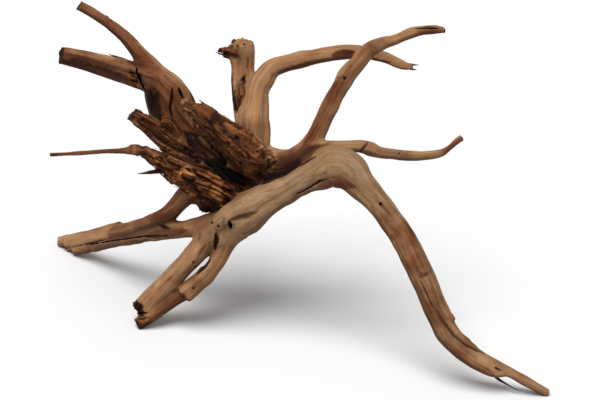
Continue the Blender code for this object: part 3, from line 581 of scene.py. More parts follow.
FIBRE_FANS: dict[str, FibreFan] = {
    "heart_spurs": FibreFan(((176, 172, -20), (214, 196, -8)), ((150, 164, -30), (180, 190, -20)),
        6, 0.8, 4.0, TORN),
    "heart_low_spurs": FibreFan(((186, 180, -10), (214, 198, -4)), ((166, 176, -16), (196, 198, -8)),
        8, 0.8, 4.0, DARK),
    "heart_hair": FibreFan(((196, 188, -10), (216, 198, -6)), ((190, 203, -14), (212, 209, -10)),
        12, 0.6, 3.0, DARK),
    "slab_tips": FibreFan(((236, 126, -20), (222, 142, -24)), ((201, 103, -27), (195, 116, -27)),
        8, 1.1, 2.0, ROTTEN),
    "plank_tips": FibreFan(((176, 136, -10), (168, 148, -12)), ((138, 109, -27), (131, 120, -28)),
        8, 1.1, 2.5, DARK),
    "crevice_fibres": FibreFan(((138, 72, -15), (144, 84, -8)), ((128, 71, -23), (134, 87, -16)),
        12, 0.8, 1.2, WARM),
    "slab_edge": FibreFan(((252, 132, -15), (270, 158, -12)), ((241, 121, -25), (262, 142, -22)),
        4, 0.7, 2.5, TORN),
}


def corner_value(cell: np.ndarray, seed: int) -> np.ndarray:
    """A drawn value for each whole-number cell: its numbers mixed by large primes.

    Args:
        cell: rows of three whole numbers.
        seed: changes every drawn value.

    Returns:
        One value from -1 to 1 for each cell.
    """
    mixed = cell[:, 0] * 73856093 ^ cell[:, 1] * 19349663 ^ cell[:, 2] * 83492791 ^ (seed * 2654435761)
    mixed = ((mixed ^ (mixed >> 13)) * 1274126177) & 0x7FFFFFFF
    return ((mixed >> 8) & 0xFFFF) / 32767.5 - 1.0


def lattice_noise(places: np.ndarray, size: float | Cell, seed: int) -> np.ndarray:
    """Smooth noise: a drawn value at each whole-number corner, blended by a cubic along each axis.

    Args:
        places: rows of three coordinates.
        size: how large a cell is, on every axis or on each.
        seed: changes every drawn value.

    Returns:
        One value from -1 to 1 for each place.
    """
    points = places / np.array(size)
    cell = np.floor(points).astype(np.int64)
    local = points - cell
    blend = local * local * (3.0 - 2.0 * local)
    total = np.zeros(len(points))
    for corner in np.ndindex(2, 2, 2):
        share = np.where(np.array(corner) == 1, blend, 1.0 - blend).prod(axis=1)
        total += corner_value(cell + np.array(corner), seed) * share
    return total


def cell_level(places: np.ndarray, size: Cell, seed: int) -> np.ndarray:
    """One drawn level for all of each cell, with every column of cells slid along.

    Args:
        places: rows of three coordinates.
        size: how large a cell is on each axis.
        seed: changes every drawn value.

    Returns:
        One level from -1 to 1 for each place.
    """
    points = places / np.array(size)
    column = np.floor(points[:, :2]).astype(np.int64)
    slide = corner_value(np.column_stack([column, np.zeros(len(column), dtype=np.int64)]), seed + 1)
    row = np.floor(points[:, 2] + slide).astype(np.int64)
    return corner_value(np.column_stack([column, row]), seed)


def smooth_step(value: np.ndarray, low: float, high: float) -> np.ndarray:
    """A cubic rise from 0 at low to 1 at high, which may be below low."""
    share = np.clip((value - low) / (high - low), 0.0, 1.0)
    return share * share * (3.0 - 2.0 * share)


def distance_to_line(spots: np.ndarray, line: tuple[Spot, ...]) -> tuple[np.ndarray, np.ndarray]:
    """The nearest of the distances from each spot to the straight stretches of a traced line.

    Args:
        spots: rows of traced right and down.
        line: the traced line's corners, or a single spot.

    Returns:
        Each spot's distance, and the share of the line's length where it is nearest.
    """
    corners = np.array(line if len(line) > 1 else (line[0], line[0]), dtype=float)
    lengths = np.linalg.norm(np.diff(corners, axis=0), axis=1)
    total = max(lengths.sum(), 1e-9)
    before = np.concatenate([[0.0], np.cumsum(lengths)])
    best = np.full(len(spots), np.inf)
    share = np.zeros(len(spots))
    for start, end, length, run in zip(corners, corners[1:], lengths, before):
        step = end - start
        along = np.clip(((spots - start) @ step) / max(length * length, 1e-9), 0.0, 1.0)
        gap = np.linalg.norm(spots - start - along[:, None] * step, axis=1)
        closer = gap < best
        best = np.where(closer, gap, best)
        share = np.where(closer, (run + along * length) / total, share)
    return best, share


class Path:
    """A limb's centre line, frame and half-widths, to sweep a tube along and to measure from.

    The side axis lies across the limb in the picture and the deep axis points away from the eye.
    """

    step = 0.0025

    def __init__(self, limb: Limb, number: int) -> None:
        """Work out the centre line and the frame.

        Args:
            limb: the limb whose knots are followed.
            number: the limb's place in the table, which turns its lobes and moves its grain.
        """
        samples = self.smooth_curve(np.array(limb.knots, dtype=float))
        self.limb = limb
        self.number = number
        self.points, scale = SIGHTING.place(samples[:, :3])
        self.half_width = samples[:, 3] * SIGHTING.unit * scale
        tangent = np.gradient(self.points, axis=0)
        self.tangent = tangent / np.linalg.norm(tangent, axis=1)[:, None]
        side = np.cross(SIGHTING.away, self.tangent)
        self.side = side / np.linalg.norm(side, axis=1)[:, None]
        self.deep = np.cross(self.tangent, self.side)
        steps = np.linalg.norm(np.diff(self.points, axis=0), axis=1)
        self.run = np.concatenate([[0.0], np.cumsum(steps)])
        if limb.sunk:
            self.round_off(self.run, limb.sunk)
        if limb.blunt:
            self.round_off(self.run[-1] - self.run, limb.blunt * self.half_width[-1])
        self.slope = np.gradient(self.half_width, self.run)

    def round_off(self, gap: np.ndarray, reach: float) -> None:
        """Narrow the limb within reach of an end like a half circle: root of 1 less share squared."""
        self.half_width *= np.sqrt(1.0 - (1.0 - np.clip(gap / reach, 0.03, 1.0)) ** 2)

    @property
    def length(self) -> float:
        """The limb's length along its centre line."""
        return float(self.run[-1])

    def smooth_curve(self, knots: np.ndarray) -> np.ndarray:
        """The Catmull-Rom curve: between two knots, a cubic that leaves each along its neighbours' chord.

        Args:
            knots: rows of right, down, millimetres away and half-width.

        Returns:
            Rows of the same kind, about a step apart.
        """
        padded = np.vstack([2 * knots[0] - knots[1], knots, 2 * knots[-1] - knots[-2]])
        pieces = []
        for before, start, end, after in zip(padded, padded[1:], padded[2:], padded[3:]):
            length = np.linalg.norm((end - start)[:2]) * SIGHTING.unit
            t = np.linspace(0.0, 1.0, max(2, math.ceil(length / self.step)), endpoint=False)[:, None]
            pieces.append(0.5 * (2 * start + (end - before) * t
                                 + (2 * before - 5 * start + 4 * end - after) * t ** 2
                                 + (3 * start - before - 3 * end + after) * t ** 3))
        pieces.append(knots[-1:])
        return np.vstack(pieces)

    def swell(self, turn: np.ndarray, run: np.ndarray) -> np.ndarray:
        """Lengthwise lobes: two waves round the limb, and the size of two more, all twisting along it.

        Args:
            turn: angles round the limb.
            run: metres along it.

        Returns:
            The share of the half-width at which the surface lies.
        """
        phase = 1.7 * self.number
        lobes = (0.55 * np.cos(2 * turn + phase + 9.0 * run)
                 + 0.30 * np.cos(3 * turn + 2 * phase - 14.0 * run)
                 + 0.85 * (np.abs(np.cos(1.5 * turn + phase + 5.0 * run)) - MEAN_OF_WAVE_SIZE)
                 + 0.55 * (np.abs(np.cos(3.5 * turn + 3 * phase - 8.0 * run)) - MEAN_OF_WAVE_SIZE))
        return 1.0 + self.limb.fluting * lobes

    def rings(self, sides: int) -> np.ndarray:
        """The swept surface: at each sample a ring of half-width times swell about the centre line.

        Args:
            sides: how many corners each ring has.

        Returns:
            The places, by ring, corner and axis.
        """
        turn = np.linspace(0.0, 2 * math.pi, sides, endpoint=False)
        radius = self.half_width[:, None] * self.swell(turn[None, :], self.run[:, None])
        out = (self.side[:, None, :] * np.cos(turn)[None, :, None]
               + self.deep[:, None, :] * self.limb.depth * np.sin(turn)[None, :, None])
        return self.points[:, None, :] + out * radius[:, :, None]

    def measure(self, spots: np.ndarray) -> tuple[np.ndarray, np.ndarray, np.ndarray]:
        """How spots lie about the limb, from the nearest sample of its centre line.

        Args:
            spots: rows of places.

        Returns:
            The clearance to the surface, the straightened place (across, behind, run), and how far
            each spot lies past an end, negative where it doesn't.
        """
        gap = (self.points ** 2).sum(axis=1)[None, :] - 2.0 * spots @ self.points.T
        near = gap.argmin(axis=1)
        offset = spots - self.points[near]
        along = (offset * self.tangent[near]).sum(axis=1)
        across = (offset * self.side[near]).sum(axis=1)
        behind = (offset * self.deep[near]).sum(axis=1)
        turn = np.arctan2(behind / self.limb.depth, across)
        run = self.run[near] + along
        radius = (self.half_width[near] + self.slope[near] * along) * self.swell(turn, run)
        past = np.where(near == 0, -along, np.where(near == len(self.points) - 1, along, -1.0))
        clear = np.maximum(np.hypot(across, behind / self.limb.depth) - radius, past)
        return clear, np.stack([across, behind, run], axis=1), past

    def surface(self, run: np.ndarray, turn: np.ndarray, lift: np.ndarray) -> tuple[np.ndarray, ...]:
        """Places on the surface: the centre line's point plus half-width times swell, plus the lift.

        Args:
            run: metres along the limb, which go straight on past its ends.
            turn: angles round it.
            lift: metres above the surface.

        Returns:
            The places, the outward direction and the direction along the limb at each.
        """
        inside = np.clip(run, 0.0, self.length)

        def read(rows: np.ndarray) -> np.ndarray:
            """The rows between samples, by straight lines."""
            return np.stack([np.interp(inside, self.run, rows[:, axis]) for axis in range(3)], axis=-1)

        tangent, side, deep = read(self.tangent), read(self.side), read(self.deep)
        radius = np.interp(inside, self.run, self.half_width) * self.swell(turn, inside)
        out = side * np.cos(turn)[..., None] + deep * (self.limb.depth * np.sin(turn))[..., None]
        places = read(self.points) + tangent * (run - inside)[..., None] + out * (radius + lift)[..., None]
        out /= np.linalg.norm(out, axis=-1, keepdims=True)
        return places, out, tangent


def new_piece(name: str, vertices: np.ndarray, faces: np.ndarray | list) -> Object:
    """A smooth-shaded mesh object at the origin.

    Args:
        name: the object's name, and its mesh's.
        vertices: places, on any number of axes of which the last holds x, y and z.
        faces: rows of vertex numbers.

    Returns:
        The object, in the scene.
    """
    mesh = bpy.data.meshes.new(name)
    mesh.from_pydata(vertices.reshape(-1, 3).tolist(), [], [list(map(int, row)) for row in faces])
    mesh.update()
    mesh.shade_smooth()
    piece = bpy.data.objects.new(name, mesh)
    bpy.context.scene.collection.objects.link(piece)
    return piece


def tube_faces(tubes: int, rings: int, sides: int) -> list:
    """Faces of many equal closed tubes: quads between rings, and a cap on both ends of each.

    Args:
        tubes: how many tubes.
        rings: how many rings each has.
        sides: how many corners each ring has.

    Returns:
        The faces as lists of vertex numbers.
    """
    ring, side = np.meshgrid(np.arange(rings - 1), np.arange(sides), indexing="ij")
    after = (side + 1) % sides
    quads = np.stack([ring * sides + side, ring * sides + after,
                      (ring + 1) * sides + after, (ring + 1) * sides + side], axis=-1).reshape(-1, 4)
    first = np.arange(sides)[::-1]
    last = (rings - 1) * sides + np.arange(sides)
    faces: list = []
    for tube in range(tubes):
        base = tube * rings * sides
        faces += (quads + base).tolist()
        faces += [(first + base).tolist(), (last + base).tolist()]
    return faces


@contextmanager
def opened(mesh: Mesh) -> Iterator[bmesh.types.BMesh]:
    """The mesh's editable form, written back at the end.

    Args:
        mesh: the mesh to edit.

    Returns:
        Its editable form, for a with statement.
    """
    shape = bmesh.new()
    shape.from_mesh(mesh)
    yield shape
    shape.to_mesh(mesh)
    shape.free()


def face_outward(mesh: Mesh) -> None:
    """Turn every closed part's faces outward."""
    with opened(mesh) as shape:
        bmesh.ops.recalc_face_normals(shape, faces=shape.faces)


def apply_modifiers(piece: Object) -> None:
    """Bake a piece's modifiers into its mesh.

    Args:
        piece: the object, which gets a new mesh and loses its modifiers.
    """
    evaluated = piece.evaluated_get(bpy.context.evaluated_depsgraph_get())
    baked = bpy.data.meshes.new_from_object(evaluated)
    piece.modifiers.clear()
    piece.data = baked


def read_rows(items: bpy.types.bpy_prop_collection, label: str) -> np.ndarray:
    """Three numbers of each item of a mesh.

    Args:
        items: the mesh's vertices or their normals.
        label: what is read from each.

    Returns:
        One row for each item.
    """
    rows = np.empty(len(items) * 3)
    items.foreach_get(label, rows)
    return rows.reshape(-1, 3)


def read_places(mesh: Mesh) -> np.ndarray:
    """All the vertices' places as rows."""
    return read_rows(mesh.vertices, "co")


def read_normals(mesh: Mesh) -> np.ndarray:
    """All the vertices' normals as rows."""
    return read_rows(mesh.vertex_normals, "vector")


def write_places(mesh: Mesh, spots: np.ndarray) -> None:
    """Move the vertices to rows of places."""
    mesh.vertices.foreach_set("co", spots.ravel())
    mesh.update()


def write_attribute(mesh: Mesh, name: str, rows: np.ndarray) -> None:
    """Store a number or a row of three for each vertex, for the finishes to read by name."""
    kind, label = ("FLOAT_VECTOR", "vector") if rows.ndim == 2 else ("FLOAT", "value")
    mesh.attributes.new(name, kind, "POINT").data.foreach_set(label, rows.astype(np.float32).ravel())


@dataclass(frozen=True)
class Relief:
    """Raised grain, torn bundles and rotten lumps, as heights from straightened places.

    Places are rows of across, behind and run in metres, and every height is in metres too. Each cell
    is the size of one noise on those axes.
    """

    ridge: float = 0.00055
    line: float = 0.00022
    level: float = 0.0012
    gap: float = 0.0025
    lump: float = 0.0010
    slant_angle: float = 0.45
    bend_cell: Cell = (0.016, 0.016, 0.045)
    ridge_cell: Cell = (0.0042, 0.0042, 0.045)
    line_cell: Cell = (0.0021, 0.0021, 0.022)
    bundle_cell: Cell = (0.0052, 0.0052, 0.030)
    strand_cell: Cell = (0.0024, 0.0024, 0.015)
    hair_cell: Cell = (0.0012, 0.0012, 0.008)
    break_cell: Cell = (0.0046, 0.0046, 0.013)
    small_break_cell: Cell = (0.0021, 0.0021, 0.007)
    lump_cell: Cell = (0.0048, 0.0055, 0.0085)
    crumb_cell: Cell = (0.0023, 0.0020, 0.0040)
    grit_cell: Cell = (0.0011, 0.0012, 0.0018)
    pit_cell: Cell = (0.0040, 0.0044, 0.0060)
    chip_cell: Cell = (0.0030, 0.0030, 0.0052)

    @property
    def slant(self) -> np.ndarray:
        """A turn about a slanted axis, so that no row of lumps lies straight across the limb."""
        return np.array(Matrix.Rotation(self.slant_angle, 3, Vector((1.0, 0.7, 0.4))))

    def bend(self, straight: np.ndarray, size: float, seed: int) -> np.ndarray:
        """Places pushed across and behind by slow noise of a size, so that no line runs quite straight."""
        push, side = (size * lattice_noise(straight, self.bend_cell, seed + more) for more in (0, 1))
        return straight + np.stack([push, side, np.zeros(len(straight))], axis=1)

    def sound(self, straight: np.ndarray) -> np.ndarray:
        """Soft lengthwise ridges: broad noise, less the size of finer noise, plus finer noise.

        Args:
            straight: rows of straightened places.

        Returns:
            A height for each.
        """
        bent = self.bend(straight, 0.0016, 3)
        broad = lattice_noise(bent, self.ridge_cell, 5)
        fine = lattice_noise(bent, self.line_cell, 7)
        return self.ridge * (broad - 0.4 * np.abs(fine)) + self.line * fine

    def torn(self, straight: np.ndarray) -> np.ndarray:
        """Bundles broken off at many levels, with deep gaps where slow noise crosses zero.

        Args:
            straight: rows of straightened places.

        Returns:
            A height for each.
        """
        bent = self.bend(straight, 0.0022, 23)
        wide = lattice_noise(bent, self.bundle_cell, 29)
        narrow = lattice_noise(bent, self.strand_cell, 31)
        hair = lattice_noise(bent, self.hair_cell, 37)
        deep = 1.0 - smooth_step(np.abs(wide), 0.02, 0.20)
        shallow = 1.0 - smooth_step(np.abs(narrow), 0.02, 0.26)
        steps = cell_level(bent, self.break_cell, 41) + 0.6 * cell_level(bent, self.small_break_cell, 43)
        return self.level * steps - self.gap * deep - 0.45 * self.gap * shallow + self.line * hair

    def lumps(self, straight: np.ndarray) -> np.ndarray:
        """Rotten wood: short ragged lumps, drawn out along the limb, with a few deep round pits.

        Args:
            straight: rows of straightened places.

        Returns:
            A height for each.
        """
        bent = self.bend(straight, 0.0030, 47) @ self.slant
        large = lattice_noise(bent, self.lump_cell, 49)
        small = np.abs(lattice_noise(bent @ self.slant, self.crumb_cell, 53))
        fine = lattice_noise(bent, self.grit_cell, 57)
        pits = smooth_step(lattice_noise(bent @ self.slant, self.pit_cell, 59), 0.42, 0.80)
        chips = cell_level(bent, self.chip_cell, 67)
        return self.lump * (0.7 * large + 0.8 * small + 0.45 * fine + 0.35 * chips - 0.2 - 2.0 * pits)


@dataclass
class WoodPiece:
    """A piece of the wood: the limbs that it follows, and the solid's box, which it stays in."""

    paths: dict[str, Path]
    box: tuple[np.ndarray, np.ndarray]

    def dress(self, piece: Object, material: Material) -> None:
        """Give a built piece its finish, hide the solid's part that it stands in for, and hang it on its
        body.

        Args:
            piece: the built piece.
            material: its finish.
        """
        piece.data.materials.clear()
        piece.data.materials.append(material)
        piece.data.shade_smooth()
        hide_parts(NODE)
        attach(piece, BODY)
        faces = sum(len(face.vertices) - 2 for face in piece.data.polygons)
        LOG.info("%s: %d triangles", piece.name, faces)


@dataclass
class WoodSkin(WoodPiece):
    """One closed skin over some of the limbs, from their fused tubes to the last pit."""

    name: str
    limbs: tuple[str, ...]
    cell: float = 0.0015
    torn_cell: float = 0.001
    least_share: float = 0.5
    relief: Relief = Relief()
    sides: int = 28
    fork_rounding: float = 0.0022
    passes: int = 4
    reach: float = 0.002
    refine_margins: tuple[float, float] = (0.9, 0.1)
    full_relief: float = 0.0075
    swelling: float = 0.0006
    swelling_cell: float = 0.011
    waver_cell: float = 0.0026
    end_depth: float = 0.0007
    end_relief: float = 0.0009
    end_cell: float = 0.0026
    full_ridge: float = 0.0014
    # Painted shade: faces that point down are darkened over this range of their upward lean.
    underside_shade_range: tuple[float, float] = (0.35, -0.65)
    # Painted shade: spots close to other limbs are darkened by these crowd numbers.
    crowd_depth: float = 0.004
    crowd_reach: float = 0.006
    crowd_range: tuple[float, float] = (2.0, 4.2)
    crowd_shade: float = 0.85
    clarity_range: tuple[float, float] = (0.05, 0.45)

    def build(self) -> Object:
        """Fuse, round, refine and carve the skin.

        Returns:
            The finished skin with its attributes, not dressed yet.
        """
        skin = self.fuse()
        for _ in range(self.passes):
            self.settle(skin.data)
        self.refine(skin.data)
        self.carve(skin.data)
        return skin

    def fuse(self) -> Object:
        """Sweep each limb's tube and wrap them all in one closed skin on even cells.

        Returns:
            The skin.
        """
        vertices, faces, count = [], [], 0
        for name in self.limbs:
            rings = self.paths[name].rings(self.sides)
            faces += [[index + count for index in face] for face in tube_faces(1, len(rings), self.sides)]
            vertices.append(rings.reshape(-1, 3))
            count += len(rings) * self.sides
        skin = new_piece(self.name, np.vstack(vertices), faces)
        face_outward(skin.data)
        remesh = skin.modifiers.new("skin", "REMESH")
        remesh.mode = "VOXEL"
        remesh.voxel_size = self.cell
        apply_modifiers(skin)
        self.drop_scraps(skin.data)
        return skin

    def drop_scraps(self, mesh: Mesh) -> None:
        """Drop sealed hollows and scraps: every vertex takes the lowest number it is joined to.

        Args:
            mesh: the skin, which keeps its parts that hold at least least_share of its vertices.
        """
        edges = np.empty(len(mesh.edges) * 2, dtype=np.int64)
        mesh.edges.foreach_get("vertices", edges)
        edges = edges.reshape(-1, 2)
        label = np.arange(len(mesh.vertices))
        while True:
            low = np.minimum(label[edges[:, 0]], label[edges[:, 1]])
            before = label.copy()
            np.minimum.at(label, edges[:, 0], low)
            np.minimum.at(label, edges[:, 1], low)
            label = label[label]
            if (label == before).all():
                break
        small = np.bincount(label)[label] < self.least_share * len(label)
        with opened(mesh) as shape:
            loose = [vertex for vertex, drop in zip(shape.verts, small) if drop]
            bmesh.ops.delete(shape, geom=loose, context="VERTS")

    def survey(self, spots: np.ndarray, names: tuple[str, ...]) -> tuple[np.ndarray, ...]:
        """How every spot lies about each named limb that it is near.

        Args:
            spots: rows of places.
            names: the limbs' names.

        Returns:
            Clearance (limbs by spots), straightened place (limbs by spots by three) and overrun past
            an end (limbs by spots).
        """
        clear = np.full((len(names), len(spots)), FAR)
        straight = np.zeros((len(names), len(spots), 3))
        past = np.full((len(names), len(spots)), -1.0)
        for row, name in enumerate(names):
            path = self.paths[name]
            margin = path.half_width.max() * 1.3 + 0.014
            near = ((spots > path.points.min(axis=0) - margin)
                    & (spots < path.points.max(axis=0) + margin)).all(axis=1).nonzero()[0]
            clear[row, near], straight[row, near], past[row, near] = path.measure(spots[near])
        return clear, straight, past

    def pull(self, clear: np.ndarray) -> np.ndarray:
        """How strongly each limb pulls on each spot: exp(-clearance / k), where k rounds the forks."""
        return np.exp(-np.clip(clear, -DEEPEST, FAR) / self.fork_rounding)

    def settle(self, mesh: Mesh) -> None:
        """Move the skin onto the soft union of the limbs, which fills each fork with a fillet.

        The soft union is minus k times the logarithm of the sum of the limbs' pulls.

        Args:
            mesh: the skin.
        """
        spots = read_places(mesh)
        clear, _, _ = self.survey(spots, self.limbs)
        gap = -self.fork_rounding * np.log(self.pull(clear).sum(axis=0))
        spots -= read_normals(mesh) * np.clip(gap, -self.reach, self.reach)[:, None]
        write_places(mesh, spots)

    def own_marks(self) -> list[Mark]:
        """The marks on this skin's limbs."""
        return [mark for mark in MARKS.values() if mark.limb in self.limbs]

    def refine(self, mesh: Mesh) -> None:
        """Halve the faces near cracks and pits twice, on the side that the eye sees.

        So are those of torn stretches, where the skin's own cells are too coarse for them.

        Args:
            mesh: the skin.
        """
        for margin in self.refine_margins:
            traced = SIGHTING.sight(read_places(mesh))
            facing = -(read_normals(mesh) @ SIGHTING.away) > 0.0
            wanted = np.zeros(len(traced), dtype=bool)
            for mark in self.own_marks():
                gap, _ = distance_to_line(traced, mark.line)
                if mark.kind in (MarkKind.CRACK, MarkKind.PIT):
                    wanted |= gap < mark.half_width + margin
                elif mark.kind is MarkKind.SHRED and self.cell > self.torn_cell:
                    wanted |= gap < mark.half_width * margin
            wanted &= facing
            with opened(mesh) as shape:
                edges = [edge for edge in shape.edges
                         if wanted[edge.verts[0].index] and wanted[edge.verts[1].index]]
                bmesh.ops.subdivide_edges(shape, edges=edges, cuts=1, use_grid_fill=True)
                bmesh.ops.triangulate(shape, faces=[face for face in shape.faces if len(face.verts) > 4])
            self.settle(mesh)

    def carve(self, mesh: Mesh) -> None:
        """Raise the grain, cut the marks, hold the skin inside the solid's box, and store its tones and
        painted shade.

        Args:
            mesh: the skin.
        """
        own = [LIMBS[name] for name in self.limbs]
        spots = read_places(mesh)
        normals = read_normals(mesh)
        clear, straight, past = self.survey(spots, self.limbs)
        weight = self.pull(clear)
        weight /= weight.sum(axis=0)
        tone = weight.T @ np.array([limb.tone.value for limb in own])
        lift, shade, shred, tone = self.cut_marks(spots, normals, weight, tone)
        height = self.raise_grain(spots, straight, weight, shred)
        flat = np.array([limb.blunt == 0.0 for limb in own])
        end = ((past > -self.end_depth) * weight * flat[:, None]).sum(axis=0)
        height += self.end_relief * end * lattice_noise(spots, self.end_cell, 19)

        spots += normals * (height + lift)[:, None]
        spots = np.clip(spots, *self.box)
        write_places(mesh, spots)
        # Painted shade: the under share darkens the skin where it faces down.
        under = smooth_step(read_normals(mesh)[:, 2], *self.underside_shade_range)
        # Painted shade: spots crowded by nearby limbs, in forks and crevices, are darkened, as far as each
        # limb allows.
        around, _, _ = self.survey(spots, tuple(self.paths))
        crowding = np.exp(-np.clip(around, -self.crowd_depth, FAR) / self.crowd_reach).sum(axis=0)
        neighbour_shade = weight.T @ np.array([limb.neighbour_shade for limb in own])
        shade = np.maximum(shade, self.crowd_shade * neighbour_shade * smooth_step(crowding, *self.crowd_range))
        first, second = np.sort(weight, axis=0)[::-1][:2]
        write_attribute(mesh, "straight", self.nearest_straight(straight, weight))
        write_attribute(mesh, "tone", tone[:, :3])
        write_attribute(mesh, "grey", tone[:, 3])
        write_attribute(mesh, "shade", np.stack([shade, under, end], axis=1))
        write_attribute(mesh, "ridge", np.clip(height / self.full_ridge, -1.5, 1.5))
        write_attribute(mesh, "clarity", smooth_step(first - second, *self.clarity_range))

    def nearest_straight(self, straight: np.ndarray, weight: np.ndarray) -> np.ndarray:
        """Each spot's straightened place on its own limb, with every limb's run in a range of its own."""
        nearest = weight.argmax(axis=0)
        return straight[nearest, np.arange(len(nearest))] + RUN_STEP * np.outer(nearest, (0, 0, 1))

    def raise_grain(self, spots: np.ndarray, straight: np.ndarray, weight: np.ndarray,
                    shred: np.ndarray) -> np.ndarray:
        """The relief's height, blended between limbs by their weights, over a slow swelling.

        Args:
            spots: rows of places.
            straight: straightened places, limbs by spots by three.
            weight: each limb's share in each spot.
            shred: how torn the marks make each spot, above what its limb is.

        Returns:
            A height for each spot.
        """
        height = self.swelling * lattice_noise(spots, self.swelling_cell, 11)
        for row, name in enumerate(self.limbs):
            limb, path = LIMBS[name], self.paths[name]
            near = (weight[row] > 0.01).nonzero()[0]
            own = straight[row, near]
            shifted = own + np.array([0.0, 0.0, RUN_STEP * path.number])
            thick = np.interp(own[:, 2], path.run, path.half_width)
            lift = limb.roughness * self.relief.sound(shifted)
            if limb.shred or shred[near].any():
                lift = lift + (limb.shred + shred[near]) * self.relief.torn(shifted)
            if limb.lump:
                share = smooth_step(own[:, 2] / path.length, limb.lump_share + 0.1, limb.lump_share - 0.1)
                lift = lift * (1.0 - 0.6 * share) + limb.lump * share * self.relief.lumps(shifted)
            height[near] += weight[row, near] * lift * np.clip(thick / self.full_relief, 0.1, 1.0)
        return height

    def cut_marks(self, spots: np.ndarray, normals: np.ndarray, weight: np.ndarray,
                  tone: np.ndarray) -> tuple[np.ndarray, ...]:
        """What all the marks do to each spot, on the side that the eye sees.

        Args:
            spots: rows of places.
            normals: the skin's direction at each.
            weight: each limb's share in each spot.
            tone: each spot's tone without the marks.

        Returns:
            Lift in metres, painted shade and stain darkness, how torn it is, and the new tone.
        """
        traced = SIGHTING.sight(spots)
        facing = smooth_step(-(normals @ SIGHTING.away), 0.0, 0.25)
        waver = lattice_noise(spots, self.waver_cell, 61)
        lift = np.zeros(len(spots))
        shade = np.zeros(len(spots))
        shred = np.zeros(len(spots))
        for mark in self.own_marks():
            share = facing * np.clip(weight[self.limbs.index(mark.limb)] * 1.6, 0.0, 1.0)
            gap, along = distance_to_line(traced, mark.line)
            gap = gap + mark.ragged * mark.half_width * waver
            section, bowl = self.section(mark, gap, along)
            if mark.kind is MarkKind.SHRED:
                shred = np.maximum(shred, share * bowl * mark.depth)
            else:
                lift += share * section * mark.depth * MILLIMETRE
            # Painted shade: each mark darkens the bottom of its crack, pit, groove and hollow; a dark stain
            # darkens its stretch.
            shade = np.maximum(shade, share * bowl * mark.shade)
            if mark.tone is not None:
                cover = (share * smooth_step(bowl, 0.0, 0.8))[:, None]
                tone = tone * (1.0 - cover) + np.array(mark.tone.value) * cover
        return lift, shade, shred, tone

    def section(self, mark: Mark, gap: np.ndarray, along: np.ndarray) -> tuple[np.ndarray, np.ndarray]:
        """A mark's cross-section: a round trough, cone or hump that thins towards its line's ends.

        Args:
            mark: the mark.
            gap: each spot's distance to its line, in traced units.
            along: the share of the line's length where each spot is nearest.

        Returns:
            The lift as a share of the mark's depth, and how far into the mark each spot is.
        """
        taper = 1.0 if len(mark.line) == 1 else np.sqrt(np.sin(math.pi * np.clip(along, 0.03, 0.97)))
        share = gap / (mark.half_width * taper)
        bowl = np.clip(1.0 - share ** 2, 0.0, 1.0)
        lips = np.exp(-((share - 1.35) / 0.38) ** 2)
        if mark.kind is MarkKind.CRACK:
            return (0.18 * lips - bowl ** 1.5) * taper, smooth_step(bowl, 0.10, 0.85)
        if mark.kind is MarkKind.PIT:
            return 0.30 * lips - bowl ** 1.2, smooth_step(bowl, 0.15, 0.90)
        if mark.kind is MarkKind.GROOVE:
            return (0.10 * lips - bowl) * taper, bowl
        if mark.kind is MarkKind.RIDGE:
            return bowl ** 1.5, bowl
        return np.zeros(len(gap)), bowl


